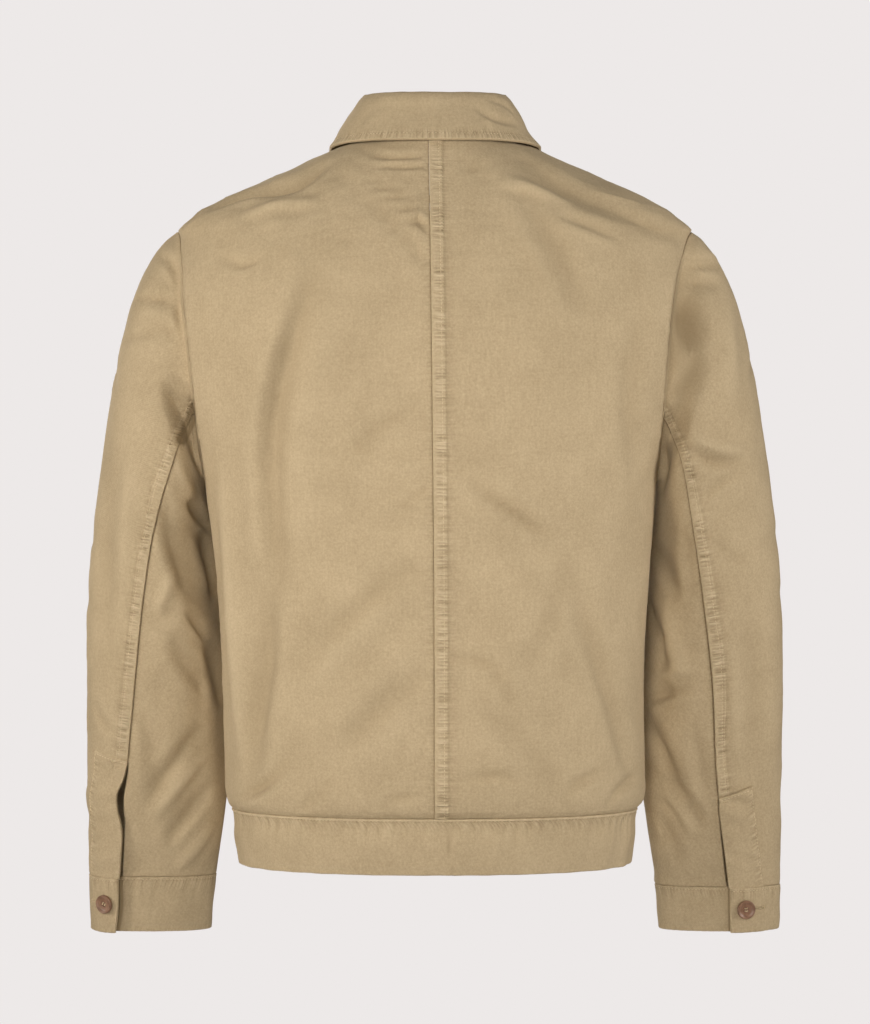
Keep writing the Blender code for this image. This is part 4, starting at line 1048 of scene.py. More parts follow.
def bodyPanel(name):
    panel = panels[name]
    points, facing, away, upper = grids[name]
    back = panel["face"] == "back"
    right = panel["side"] == "right"
    strip, slope = form["strip"], form["stripSlope"]
    fromMiddle = lengths(points, 1)
    fromSide = fromEnd(fromMiddle, 1)
    fromBand = lengths(points, 0)
    fromTop = fromEnd(fromBand, 0)
    up = points[..., 2]
    row = np.arange(len(points))[:, None]
    toUnderarm = np.hypot(fromSide, np.maximum(form["underarm"] - up, 0))
    byArmhole = np.where(row >= upper - 1, fromSide, toUnderarm)
    calm = eased(byArmhole / 14) * eased(fromTop / 12) * eased(fromBand / 10)
    folds = 3.3 * foldField(points, facing, bodyFolds, bodySamples) * calm
    shape = folds + clothRipple(points, 31) * calm
    byBand = wobble(points[..., 0] + 0.35 * fromBand, 11.0, 5) * eased(fromBand / 2.5)
    shape += 0.42 * fade(fromBand, 8) * byBand
    bySeam = wobble(up + 0.3 * byArmhole, 15.0, 6) * eased(byArmhole / 2)
    shape += 0.30 * fade(byArmhole, 7) * bySeam
    rubbed = np.zeros(up.shape)
    puckered = 0.35 * ridge(fromBand, 0, 7)
    if back and right:
        # the felled seam: a raised strip, its tucks, and the channel of its row of stitches
        shape += form["stripRaise"] * eased((strip + slope - away) / slope)
        patch = 0.72 + 0.28 * wobble(fromBand, 60.0, 11, 4)
        tuck = wobble(fromBand + 0.12 * away, 9.0, 12)
        within = eased(away / 2.2) * eased((strip + 1.2 - away) / 2.6)
        shape += 0.12 * patch * tuck * within
        onStrip = eased((away - 1.0) / 3.5) * eased((strip + 2.4 - away) / 2.4)
        puckered = np.maximum(puckered, np.clip(patch + 0.15, 0, 1.2) * onStrip)
        besideStrip = 0.35 * eased((away - strip) / 1.5) * ridge(away, strip, 7)
        puckered = np.maximum(puckered, besideStrip)
        shape -= 0.26 * ridge(away, panel["stitched"], 0.6)
        beyond = np.maximum(away - strip, 0)
        outside = fade(beyond, 5) * eased((away - strip) / 2)
        shape += 0.16 * outside * wobble(fromBand + 0.6 * away, 6.0, 13)
        shape -= 0.35 * ridge(away, strip + 2.2, 1.1)
        rubbed += 0.12 * np.clip(tuck * within * patch, -0.75, 1)
        # the strip is faded by wear, and beside it lies a painted shadow line
        rubbed += 0.16 * eased((strip + 0.8 - away) / 1.0) - 0.35 * ridge(away, strip + 1.9, 1.0)
    elif back:
        puckered = np.maximum(puckered, 0.3 * ridge(away, 0, 7))
        shape += 0.22 * fade(away, 6) * eased(away / 1.5) * wobble(fromBand - 0.6 * away, 6.5, 14)
        # painted shadow of the strip's fold edge along this panel's edge
        rubbed -= 0.45 * ridge(away, 0.3, 1.0)
    else:
        puckered = np.maximum(puckered, 0.6 * ridge(away, 4.5, 4))
        tuck = wobble(fromBand + 0.4 * away, 7.0, 15 + right)
        shape += 0.14 * tuck * eased(away / 1.5) * fade(np.maximum(away - 6, 0), 5)
        shape -= 0.22 * ridge(away, panel["stitched"], 0.6)
        rubbed += 0.22 * fade(away, 1.2) + 0.12 * np.clip(tuck, -1, 1) * fade(np.abs(away - 4), 3)
    if not back and right:
        # the right front goes in under the left one
        under = form["cloth"] + 0.3 + form["lay"]
        shape -= under * eased((34.0 - (away - form["frontLap"])) / 16.0)
    shape += rolled(fromMiddle, 0.9, 0.55) + rolled(fromBand, 1.6, 0.8)
    shape += np.where(row >= upper - 1, rolled(fromSide, 1.2, 0.5), 0)
    # painted shade along the armhole and band seams
    rubbed -= 0.3 * fade(byArmhole, 1.0) * (row >= upper) + 0.35 * fade(fromBand, 1.4)
    # painted shade in the fold troughs, and a little fading on the fold ridges
    rubbed += np.clip(0.045 * folds, -0.26, 0.2)
    outer = points + facing * shape[..., None]
    if back:
        # the back stands out beside the armhole, so its edge laps over the sleeve
        tall = eased((form["overlapTop"] - up) / 30) * eased((up - form["overlapEnd"]) / 60)
        outer[..., 1] += form["overlap"] * tall * eased(byArmhole / 4.5) * ridge(byArmhole, 0, 46)
    maps = mirrored(panel["side"])[0] * fromMiddle, up
    return layCloth(name, points, facing, shape, form["cloth"], maps, rubbed, puckered, cloth,
                    panel["flat"], drawn=outer)


made = {name: bodyPanel(name) for name in panels}
print("body panels made")

# The sleeves
sleeves = {
    "rows": 330,
    "around": 84,
    "strip": (0.0, 0.25, 0.6, 1.1, 2.0, 3.0, 4.0, 5.0, 6.0, 7.0, 7.8, 8.4, 9.2, 10.0, 10.5,
              11.2, 12.1, 13.4),
    "stitched": 8.4,
    "slitOpen": 9.0,
    "slitGap": 0.8,
    "ripple": {"left": 51, "right": 71},
    "tuck": {"left": 24, "right": 25},
    "flat": {"left": (0.568, 0.614), "right": (0.572, 0.622)},
}

# as for the body; the side view has y and z for its marks
sleeveFolds = {
    "left": {
        "photo": (
            (3.2, -2.4, 0.3, (134, 306), (148, 301), (164, 301), (181, 311)),
            (4, 1.2, 0, (138, 318), (156, 312), (176, 320)),
            (4.6, -1.7, 0.3, (124, 346), (148, 334), (168, 333), (190, 348)),
            (4.2, -1.9, 0.2, (158, 258), (170, 266), (181, 284)),
            (5, -2, 0.2, (178, 290), (182, 322), (190, 352)),
            (5, -1.2, 0.2, (168, 374), (182, 386), (192, 396)),
            (6, -3.4, 0.2, (190, 426), (194, 446), (202, 474)),
            (5, 1.6, 0, (176, 452), (184, 480), (192, 500)),
            (8, -3.6, 0.2, (160, 494), (172, 548), (192, 604)),
            (5.6, -3.4, 0.2, (186, 500), (198, 520), (208, 532)),
            (8, -5, 0.2, (196, 530), (204, 562), (212, 604)),
            (5.6, 1.7, 0.1, (176, 566), (166, 590), (156, 616)),
            (5, -2.4, 0.2, (184, 610), (194, 622), (206, 640)),
            (8, -2.2, 0.2, (174, 628), (182, 660), (204, 690)),
            (8, -4.2, 0.2, (206, 640), (214, 676), (220, 710)),
            (6, 2.2, 0.2, (152, 822), (176, 790), (208, 752)),
            (6.4, -2.2, 0.2, (148, 802), (174, 764), (204, 722)),
            (6.2, -2.4, 0.2, (166, 846), (190, 812), (216, 778)),
            (5.4, 1.6, 0.2, (176, 872), (196, 850), (214, 822)),
            (8, -1.4, 0.1, (132, 700), (150, 740), (154, 790)),
            (12, -1.4, 0.1, (112, 470), (106, 560), (110, 660)),
            (10, 1.3, 0.1, (138, 430), (126, 520), (124, 600)),
            (5, -1.2, 0.2, (96, 700), (104, 722), (118, 736)),
        ),
        "front": (
            (7, -3.4, 0.3, (208, -352), (244, -338), (288, -352)),
            (6.4, -4.2, 0.3, (204, -396), (240, -380), (292, -384)),
            (6.4, -3.2, 0.3, (202, -438), (238, -418), (286, -410)),
            (4.6, 1.8, 0, (206, -416), (236, -402), (262, -398)),
            (7, -2.6, 0.2, (206, -486), (242, -462), (284, -452)),
            (9, -3, 0.2, (298, -212), (270, -262), (228, -306)),
            (8, -2.6, 0.2, (276, -164), (252, -214), (222, -262)),
            (7, -1.8, 0.2, (252, -116), (246, -160), (226, -206)),
            (8, -2.6, 0.2, (222, -520), (258, -556), (304, -580)),
            (7, -2.2, 0.2, (212, -590), (248, -606), (296, -626)),
            (6, -1.8, 0.2, (212, -640), (250, -632), (286, -612)),
        ),
        "side": (
            (9, -0.5, 0.3, (-64, -366), (-22, -352), (16, -362)),
            (9, -0.5, 0.3, (-70, -420), (-30, -408), (8, -424)),
            (7, -1.4, 0.2, (-40, -150), (-14, -196), (20, -220)),
            (7, -1.2, 0.2, (-70, -560), (-60, -590), (-80, -630)),
        ),
    },
    "right": {
        "photo": (
            (4.2, -1.7, 0.1, (680, 271), (698, 266), (722, 268)),
            (3.8, 1.1, 0, (682, 278), (700, 275), (720, 277)),
            (4.2, -1.5, 0.1, (679, 286), (698, 284), (716, 288)),
            (13, -5, 0.1, (674, 298), (688, 326), (694, 352)),
            (9, -2.6, 0.1, (700, 350), (690, 380), (672, 400)),
            (10, 1.6, 0.1, (724, 300), (730, 360), (724, 410)),
            (5, 1.9, 0.1, (686, 436), (712, 448), (744, 452)),
            (4.8, -2.6, 0.3, (690, 452), (712, 464), (742, 466)),
            (5, -1.5, 0.2, (700, 500), (722, 482), (744, 472)),
            (6, -1.2, 0.2, (712, 540), (734, 560), (752, 556)),
            (6, -4, 0.2, (660, 430), (664, 462), (662, 496)),
            (8, -2.6, 0.2, (656, 540), (668, 572), (680, 600)),
            (6, -1.8, 0.2, (684, 520), (690, 560), (692, 600)),
            (9, 3, 0.1, (666, 600), (672, 640), (680, 676)),
            (6, -2, 0.2, (650, 590), (652, 612), (656, 636)),
            (5.6, -2.6, 0.3, (648, 702), (668, 694), (692, 692)),
            (6, 1.4, 0.1, (650, 676), (672, 672), (694, 668)),
            (7, -3, 0.2, (644, 712), (662, 752), (684, 802)),
            (4.4, 1.8, 0.2, (658, 790), (676, 806), (694, 836)),
            (4.6, -1.9, 0.2, (664, 780), (686, 798), (704, 832)),
            (5.4, -1.9, 0.2, (656, 812), (668, 832), (680, 866)),
            (7, -1.3, 0.1, (690, 720), (700, 760), (706, 800)),
            (11, -1.5, 0.1, (742, 600), (752, 680), (750, 760)),
            (9, 1.2, 0.1, (728, 640), (734, 700), (738, 770)),
            (5, 1, 0.1, (700, 250), (716, 262), (728, 284)),
        ),
        "front": (
            (7, -3.2, 0.3, (-206, -346), (-246, -330), (-288, -344)),
            (6.4, -4, 0.3, (-203, -390), (-242, -372), (-292, -380)),
            (6, -3.4, 0.3, (-201, -430), (-236, -414), (-284, -404)),
            (4.6, 1.8, 0, (-204, -408), (-236, -392), (-264, -392)),
            (7, -2.8, 0.2, (-204, -478), (-240, -458), (-286, -444)),
            (9, -3, 0.2, (-296, -222), (-266, -268), (-224, -300)),
            (8, -2.4, 0.2, (-272, -158), (-250, -208), (-218, -252)),
            (7, -1.8, 0.2, (-250, -112), (-242, -158), (-222, -200)),
            (8, -2.6, 0.2, (-218, -530), (-256, -560), (-304, -588)),
            (7, -2.2, 0.2, (-210, -600), (-250, -612), (-298, -640)),
        ),
        "side": (
            (9, -0.5, 0.3, (-60, -356), (-20, -346), (18, -356)),
            (9, -0.5, 0.3, (-66, -410), (-28, -400), (10, -412)),
            (7, -1.4, 0.2, (-36, -140), (-12, -186), (20, -214)),
            (7, -1.2, 0.2, (-72, -548), (-60, -584), (-78, -620)),
        ),
    },
}


def sleeveGrid(side):
    top = form["cuffTop"][side] + form["gap"] / 2
    seamRing = float(ringAtHeight(side, form["cuffTop"][side], float(seamTurn(side, 15.0))))
    slitRing = float(ringAtHeight(side, form["slitTop"][side], float(seamTurn(side, 12.5))))
    rings = np.linspace(0, seamRing, sleeves["rows"])
    close = (0.008, 0.02, 0.04), (seamRing - 0.01, seamRing - 0.03)
    rings = np.unique(np.concatenate((rings, *close)))[:, None]
    begin = seamTurn(side, rings)
    perLength = turnFor(side, rings, begin, 1.0)
    strip = np.array(sleeves["strip"])[None, :]
    shares = np.linspace(0, 1, sleeves["around"] + 1)[1:-1]
    shares = np.concatenate((shares, 1 - np.array((0.006, 0.0025, 0.0))))
    # closer together at the back of the arm than at its front
    shares = np.unique(shares - 0.38 * np.sin(2 * math.pi * shares) / (2 * math.pi))[None, :]
    gap = perLength * form["gap"] / 2
    opened = eased((rings - slitRing) / 0.12)
    first = begin - gap - strip * perLength
    ending = begin - 2 * math.pi + gap + perLength * sleeves["slitGap"] * opened
    rest = mix(first[:, -1:], ending, shares)
    turns = np.concatenate((first, rest), axis=1)
    shut = np.maximum(1 - strip / 24.0, 0)
    turns[:, :strip.shape[1]] -= perLength * sleeves["slitOpen"] * opened * shut
    ringGrid = np.broadcast_to(rings, turns.shape).copy()
    down = eased((ringGrid - seamRing + 2.5) / 2.5)
    late = np.nonzero(down[:, 0] > 0)[0]
    level = ringAtHeight(side, top, turns[late])
    ringGrid[late] += (level - seamRing) * down[late]
    points = sleevePoint(side, ringGrid, turns)
    facing = sleeveNormal(side, ringGrid, turns)
    onStrip = np.broadcast_to(strip, (len(rings), strip.shape[1]))
    offStrip = strip[0, -1] + (first[:, -1:] - rest) / perLength
    away = np.concatenate((onStrip, offStrip), axis=1)
    return points * mirrored(side), facing * mirrored(side), away, rings[:, 0], slitRing


def sleevePiece(side):
    points, facing, away, rings, slitRing = sleeveGrid(side)
    flip = mirrored(side)[0]
    strip, slope = form["strip"], form["stripSlope"]
    some, way = points[::2, ::2], facing[::2, ::2]
    samples = {
        "photo": some[way[..., 1] > 0.04],
        "front": some[way[..., 1] < -0.04],
        "side": some[way[..., 0] * flip > 0.2],
    }
    along, around = lengths(points, 0), lengths(points, 1)
    toCuff, toEnd = fromEnd(along, 0), fromEnd(around, 1)
    calm = eased(along / 12) * eased(toCuff / 12)
    calm = calm * (0.35 + 0.65 * eased(np.minimum(away, toEnd) / 12))
    folds = 1.9 * foldField(points, facing, sleeveFolds[side], samples) * calm
    turnedTo = 0.35 + 0.65 * eased(np.abs(facing[..., 1]) / 0.5)
    shape = folds + clothRipple(points, sleeves["ripple"][side]) * calm * turnedTo
    shape += 0.32 * fade(along, 7) * wobble(around + 0.4 * along, 15.0, 21) * eased(along / 2)
    shape += 0.40 * fade(toCuff, 8) * wobble(around + 0.3 * toCuff, 12.0, 22) * eased(toCuff / 2)

    # the felled seam, from the foot of the armhole to the top of the placket
    sewn = eased((slitRing - rings) / 0.14)[:, None] * eased(rings / 0.1)[:, None]
    if side == "left":
        sewn = sewn * eased((-222.0 - points[:, :1, 2]) / 12)
    shape += sewn * form["stripRaise"] * eased((strip + slope - away) / slope)
    travel = along[:, :1]
    patch = 0.7 + 0.3 * wobble(travel, 70.0, 23, 4)
    tuck = wobble(travel + 0.12 * away, 9.0, sleeves["tuck"][side])
    within = eased(away / 2.0) * eased((strip + 1.2 - away) / 2.6) * sewn
    shape += 0.13 * patch * tuck * within
    puckered = np.clip(patch + 0.25, 0, 1.25) * sewn * eased((away - 1.0) / 3.0)
    puckered = puckered * eased((strip + 3.0 - away) / 2.8)
    beyond = np.maximum(away - strip, 0)
    besideStrip = 0.35 * sewn * eased((away - strip) / 1.5) * ridge(beyond, 0, 7)
    puckered = np.maximum(puckered, besideStrip)
    puckered = np.maximum(puckered, 0.3 * sewn * ridge(toEnd, 0, 6))
    shape -= 0.26 * sewn * ridge(away, sleeves["stitched"], 0.6)
    outside = sewn * fade(beyond, 6) * eased(beyond / 2)
    shape += 0.26 * outside * wobble(travel + 0.5 * away, 7.0, 26)
    shape -= 0.25 * sewn * ridge(away, strip + 2.2, 1.1)
    shape += 0.20 * sewn * fade(toEnd, 6) * eased(toEnd / 2) * wobble(travel - 0.5 * toEnd, 7.0, 27)
    shape += rolled(away, 0.9, 0.6) + rolled(toEnd, 1.6, 0.9)
    shape += rolled(along, 2.2, 1.1) + rolled(toCuff, 1.6, 0.8)
    rubbed = 0.12 * np.clip(tuck * within * patch, -0.75, 1)
    rubbed += 0.16 * sewn * eased((strip + 0.8 - away) / 1.0)
    # painted shadow lines beyond the strip, and on the far edge beside the strip's fold
    rubbed -= 0.25 * sewn * ridge(away, strip + 1.9, 1.0) + 1.1 * sewn * ridge(toEnd, 0, 1.5)
    # painted shade along the armhole and cuff seams
    rubbed -= 0.35 * fade(along, 1.2) + 0.3 * fade(toCuff, 1.0)

    # the inner side of the arm falls away behind the edge of the body
    up = points[..., 2]
    tall = eased((form["overlapTop"] - up) / 30) * eased((up - form["overlapEnd"]) / 60)
    deep, reach = form["hollowed"][side]
    toCamera = eased(facing[..., 1] / 0.35)
    sunk = deep * tall * eased(along / 3.5) * ridge(along, 0, reach)
    beside = np.maximum(np.abs(points[..., 0]) - halfWidth(side, "back", up), 0)
    fall, wide = curve(tuckedRows[side], 1, up), curve(tuckedRows[side], 2, up)
    fall = 1.25 * np.maximum(fall, 0) * ridge(beside, 0, wide) * eased(along / 4)
    if side == "left":
        begin, end = np.array(pocket["from"]), np.array(pocket["to"])
        here = points[..., (0, 2)] - begin
        t = np.clip(here @ (end - begin) / ((end - begin) @ (end - begin)), 0, 1)
        off = np.linalg.norm(here - t[..., None] * (end - begin), axis=-1)
        fall = fall + pocket["deep"] * ridge(off, 0, pocket["wide"]) * (1 - 0.5 * t)
        # painted shade in the pocket between the sleeve and the body's edge
        rubbed -= pocket["shade"] * np.exp(-(off / pocket["shadeWide"]) ** 4) * toCamera
    else:
        # painted shade on the cloth sheltered by the back's overlapping edge
        paintedLeeShade = ridge(points[..., 0], -211, 24) * ridge(up, -168, 50)
        rubbed -= 0.55 * paintedLeeShade * toCamera
    # painted shade in the fold troughs, and a little fading on the fold ridges
    rubbed += np.clip(0.055 * folds, -0.32, 0.22)
    outer = points + facing * shape[..., None]
    outer[..., 1] -= np.maximum(sunk * toCamera, fall * eased((facing[..., 1] + 0.45) / 0.45))
    seamWay = unit(np.gradient(points[:, 0], axis=0))
    alongSeam = travel + ((points - points[:, :1]) * seamWay[:, None]).sum(axis=-1) * (away < 40)
    maps = flip * around, -along
    return layCloth("sleeve_" + side, points, facing, shape, form["cloth"], maps, rubbed, puckered,
                    cloth, sleeves["flat"][side], drawn=outer, alongSeam=alongSeam)


for side in ("left", "right"):
    made["sleeve_" + side] = sleevePiece(side)
print("sleeves made")

# The hem band: one strip whose ends lap at the front
hemBand = {"quarter": 132, "proud": 0.6, "stitched": 2.7, "flat": (1.034, 0.052)}


def hemPiece():
    top = form["bandTop"] - 0.1
    levels = top - spots(top - form["hem"], 2.2, (0, (0.3, 0.7, 1.2, 1.7, 2.2, 2.7, 3.2, 3.8)),
                         (top - form["hem"], (-0.3, -0.8, -1.4)))
    quarter = np.linspace(0, 1, hemBand["quarter"] + 1)
    runs = (
        ("left", "front", -form["frontLap"], quarter[:-1]),
        ("left", "back", 0.0, quarter[:0:-1]),
        ("right", "back", 0.0, quarter[:-1]),
        ("right", "front", -form["frontLap"], quarter[::-1]),
    )
    outer, facing = [], []
    for z in levels:
        n = float(squareness(z))
        rowOuter, rowFacing = [], []
        for side, face, begin, share in runs:
            wide = float(halfWidth(side, face, z))
            first = math.asin(signedPower(begin / wide, n / 2))
            x = wide * signedPower(np.sin(mix(first, math.pi / 2, share)), 2 / n)
            y = bodyY(side, face, x, np.full_like(x, z))
            y = np.where(share >= 1.0, 0.0, y)
            normal = bodyNormal(side, face, x, y, np.full_like(x, z))
            sunk = np.zeros_like(x)
            if side == "right" and face == "front":
                sunk = (form["band"] + form["lay"]) * eased((40.0 - x) / 20.0)
            point = np.stack((x, y, np.full_like(x, z)), axis=-1) - normal * sunk[:, None]
            rowOuter.append(point * mirrored(side))
            rowFacing.append(normal * mirrored(side))
        outer.append(np.concatenate(rowOuter))
        facing.append(np.concatenate(rowFacing))
    points, facing = np.array(outer), np.array(facing)
    down = lengths(points, 0)
    toHem = fromEnd(down, 0)
    around = lengths(points, 1)
    toEnd = np.minimum(around, fromEnd(around, 1))
    s = around[:1]
    stitched = hemBand["stitched"]
    shape = (hemBand["proud"] + 0.45 * eased((2.1 - down) / 0.9)) * eased(down / 0.5)
    shape -= 0.42 * ridge(down, stitched, 0.55)
    holes = 0.5 + 0.5 * np.cos(2 * math.pi * s / 3.3)
    shape -= 0.22 * holes * ridge(down, stitched, 0.5)
    tuck = wobble(s + 0.15 * down, 8.5, 31)
    shape += 0.30 * tuck * fade(np.maximum(down - 4, 0), 16) * eased((down - 1.2) / 3)
    shape += 0.34 * wobble(s + 0.25 * down, 30.0, 32) * eased(down / 12)
    shape += 0.22 * ripple(points, 26.0, 33) * eased(down / 8)
    crease = ridge(points[..., 0] + (down - 4) * 0.075, -10.5, 0.9) * (points[..., 1] > 0)
    shape -= 0.75 * crease * eased(down / 4)
    shape += 0.12 * wobble(s, 5.5, 34) * fade(toHem, 5)
    shape += rolled(toHem, 1.6, 1.3) + rolled(toEnd, 1.4, 1.0)
    rubbed = 0.55 * eased((2.2 - down) / 0.8) * eased(down / 0.3)
    # painted shade in the stitch holes and in the crease
    rubbed -= 0.42 * holes * ridge(down, stitched, 0.7) + 0.3 * crease
    rubbed += 0.14 * np.clip(tuck, -1, 1) * fade(np.maximum(down - 3, 0), 12)
    rubbed += 0.2 * fade(toHem, 0.8)
    puckered = 0.55 * ridge(down, 4.5, 6.5) * eased((down - 1.5) / 2)
    return layCloth("hem_band", points, facing, shape, form["band"], (around, -down), rubbed,
                    puckered, clothAcross, hemBand["flat"])


made["hem_band"] = hemPiece()
print("hem band made")

# The cuffs and the plackets above them
cuffs = {
    "columns": (60, 150, 40),
    "stitched": 2.6,
    # how wide the painted shade is where the cuff's lower end goes in under its upper end
    "dark": {"left": 2.4, "right": 1.0},
    "flat": {"left": (0.33, 0.052), "right": (0.322, 0.0425)},
    "placketRows": 74,
    "placketColumns": 30,
    "placketStitched": (2.2, 3.0),     # from its far side and from its top
    "placketFlat": {"left": (0.0385, 0.122), "right": (0.0355, 0.099)},
    # z and how far the free edge wanders from its line
    "wander": {
        "left": np.array((
            (-715.0, 3.4), (-700.0, 0.8), (-684.0, -0.6), (-660.0, -0.4), (-632.0, -0.8),
            (-612.0, 0.4), (-594.0, 3.6), (-584.0, 4.4), (-570.0, 1.6), (-553.0, 0.0),
            (-540.0, 0.0),
        )),
        "right": np.array((
            (-715.0, 0.0), (-690.0, -0.5), (-660.0, 0.4), (-630.0, 0.2), (-600.0, -0.6),
            (-584.0, 0.0), (-570.0, 0.0),
        )),
    },
    "placketRipple": {"left": 42, "right": 43},
    "ripple": {"left": 46, "right": 47},
}


def edgeLift(side, ring, turns):
    begin = seamTurn(side, ring)
    edge = turnFor(side, ring, begin, form["placketWide"])
    return eased((turns - (begin - edge)) / edge) * form["edgeRise"][side]


def placketPiece(side):
    drop = form["slitTop"][side] - form["cuffTop"][side]
    rows = spots(drop, drop / cuffs["placketRows"], (0, (0.4, 0.9, 1.5, 2.2))) / drop
    wide = form["placketWide"]
    columns = spots(wide, wide / cuffs["placketColumns"], (0, (0.25, 0.7, 1.2)),
                    (wide, (-0.25, -0.7, -1.2, -1.9, -2.5))) / wide
    down, share = np.meshgrid(rows, columns, indexing="ij")
    top = form["slitTop"][side] + form["slitSlant"][side] * share
    z = mix(top, form["cuffTop"][side] + form["gap"] / 2, down)
    shift = curve(cuffs["wander"][side], 1, z) * (1 - share) ** 2
    turn = np.full(z.shape, float(seamTurn(side, 15.0)))
    for _ in range(4):
        ring = ringAtHeight(side, z, turn)
        begin = seamTurn(side, ring)
        turn = begin - turnFor(side, ring, begin, 1.0) * (share * wide + shift)
    ring = ringAtHeight(side, z, turn)
    facing = sleeveNormal(side, ring, turn)
    rise = form["lay"] + form["placketCloth"] + edgeLift(side, ring, turn) * eased(down / 0.8)
    points = (sleevePoint(side, ring, turn) + facing * rise[..., None]) * mirrored(side)
    facing = facing * mirrored(side)
    below, across = lengths(points, 0), lengths(points, 1)
    farSide = fromEnd(across, 1)
    tuck = wobble(below - 0.7 * farSide, 7.5, 44)
    shape = 0.30 * wobble(below - 0.5 * across, 17.0, 41) * eased(across / 4) * eased(farSide / 3)
    shape += 0.35 * ripple(points, 24.0, cuffs["placketRipple"][side]) * eased(below / 6)
    shape += 0.18 * tuck * fade(np.abs(farSide - 3), 5)
    shape -= 0.25 * ridge(farSide, cuffs["placketStitched"][0], 0.6)
    shape -= 0.22 * ridge(below, cuffs["placketStitched"][1], 0.6)
    shape += rolled(across, 1.0, 0.9) + rolled(farSide, 1.0, 1.1) + rolled(below, 1.0, 1.0)
    rubbed = 0.25 * fade(across, 1.2) + 0.2 * fade(np.abs(farSide - 0.8), 1.0)
    rubbed += 0.22 * fade(np.abs(below - 0.7), 1.0)
    rubbed += 0.14 * np.clip(tuck, -1, 1) * fade(np.abs(farSide - 3), 4)
    maps = mirrored(side)[0] * across, -below
    puckered = 0.6 * ridge(farSide, 3, 4) + 0.2 * ridge(across, 0, 4)
    return layCloth("placket_" + side, points, facing, shape, form["placketCloth"], maps, rubbed,
                    puckered, cloth, cuffs["placketFlat"][side], rests=["sleeve_" + side])


def cuffPiece(side):
    top = form["cuffTop"][side] - form["gap"] / 2
    tall = top - form["cuffEnd"]
    levels = top - spots(tall, 2.2, (0, (0.3, 0.7, 1.2, 2.0, 2.6, 3.2)), (tall, (-0.3, -0.8, -1.4)))
    begin = float(seamTurn(side, 16.0))
    under = float(turnFor(side, 16.0, begin, form["underlap"]))
    first, second, third = cuffs["columns"]
    lapped = np.unique(np.concatenate((np.linspace(0, 1, first), (0.005, 0.014, 0.026))))
    turns = np.concatenate((
        begin - under * 2 * lapped,
        np.linspace(begin - under * 2, begin - 2 * math.pi, second)[1:],
        np.linspace(begin - 2 * math.pi, begin - 2 * math.pi - under, third)[1:],
    ))
    z, turn = np.meshgrid(levels, turns, indexing="ij")
    passed = begin - turn
    ring = ringAtHeight(side, z, turn)
    facing = sleeveNormal(side, ring, turn)
    perLength = float(turnFor(side, 16.0, begin, 1.0))
    wander = curve(cuffs["wander"][side], 1, z) * np.clip(1 - passed / (under * 1.4), 0, 1) ** 2
    turn = turn - wander * perLength
    ring = ringAtHeight(side, z, turn)
    over = form["lay"] + form["band"] + edgeLift(side, ring, turn)
    over = over * eased((under * 2 - passed) / (under * 0.9))
    points = (sleevePoint(side, ring, turn) + facing * (over + 0.4)[..., None]) * mirrored(side)
    facing = facing * mirrored(side)
    down, around = lengths(points, 0), lengths(points, 1)
    toHem = fromEnd(down, 0)
    toEnd = np.minimum(around, fromEnd(around, 1))
    stitched = cuffs["stitched"]
    shape = -0.5 * eased((0.6 - down) / 0.6) - 0.25 * ridge(down, stitched, 0.55)
    tuck = wobble(around + 0.2 * down, 9.0, 45)
    shape += 0.26 * tuck * fade(np.maximum(down - 4, 0), 14) * eased((down - 1) / 3)
    uneven = ripple(points, 30.0, cuffs["ripple"][side])
    shape += 0.36 * uneven * eased(down / 6) * eased(toEnd / 4)
    shape += 0.14 * wobble(around, 6.0, 48) * fade(toHem, 5)
    shape += rolled(toHem, 1.5, 1.2) + rolled(toEnd, 1.3, 1.0)
    # the top edge is faded by wear, and the stitch line gets painted shade
    rubbed = 0.18 * eased((2.0 - down) / 1.0) - 0.25 * ridge(down, stitched, 0.7)
    rubbed += 0.14 * np.clip(tuck, -1, 1) * fade(np.maximum(down - 3, 0), 12)
    rubbed += 0.2 * fade(toHem, 0.8) + 0.2 * fade(toEnd, 1.0)
    # painted shade where the lower end goes in under the upper one
    bare = (2 * math.pi - passed) / perLength + curve(cuffs["wander"][side], 1, z)
    rubbed -= 1.6 * ridge(np.maximum(bare, 0), 0, cuffs["dark"][side]) * (passed > math.pi)
    maps = mirrored(side)[0] * around, -down
    puckered = 0.5 * ridge(down, 4.5, 6) + 0.3 * ridge(toHem, 0, 5)
    return layCloth("cuff_" + side, points, facing, shape, form["band"], maps, rubbed, puckered,
                    clothAcross, cuffs["flat"][side])


for side in ("left", "right"):
    made["placket_" + side] = placketPiece(side)
    made["cuff_" + side] = cuffPiece(side)
print("cuffs and plackets made")

# The collar, folded over along its roll
collarPiece = {"stations": 150, "profile": 46, "stitched": 6.2, "flat": (0.613, 0.123)}


def neckSeam(station):
    face = "back" if station <= 1 else "front"
    share = station if station <= 1 else 2 - station

    def at(share):
        x, z = neckLine(face, np.clip(share, 0, 1))
        return np.array((float(x), float(bodyY("left", face, x, z)), float(z)))

    point = at(share)
    run = unit(at(min(share + 0.01, 1.0)) - at(max(share - 0.01, 0.0)))
    normal = bodyNormal("left", face, *(np.array(v) for v in point))
    on = unit(np.cross(normal, run))
    on = -on if on[2] < 0 else on
    if station in (0, 2):
        normal, on = unit(normal * (0, 1, 1)), unit(on * (0, 1, 1))
    return point, normal, on


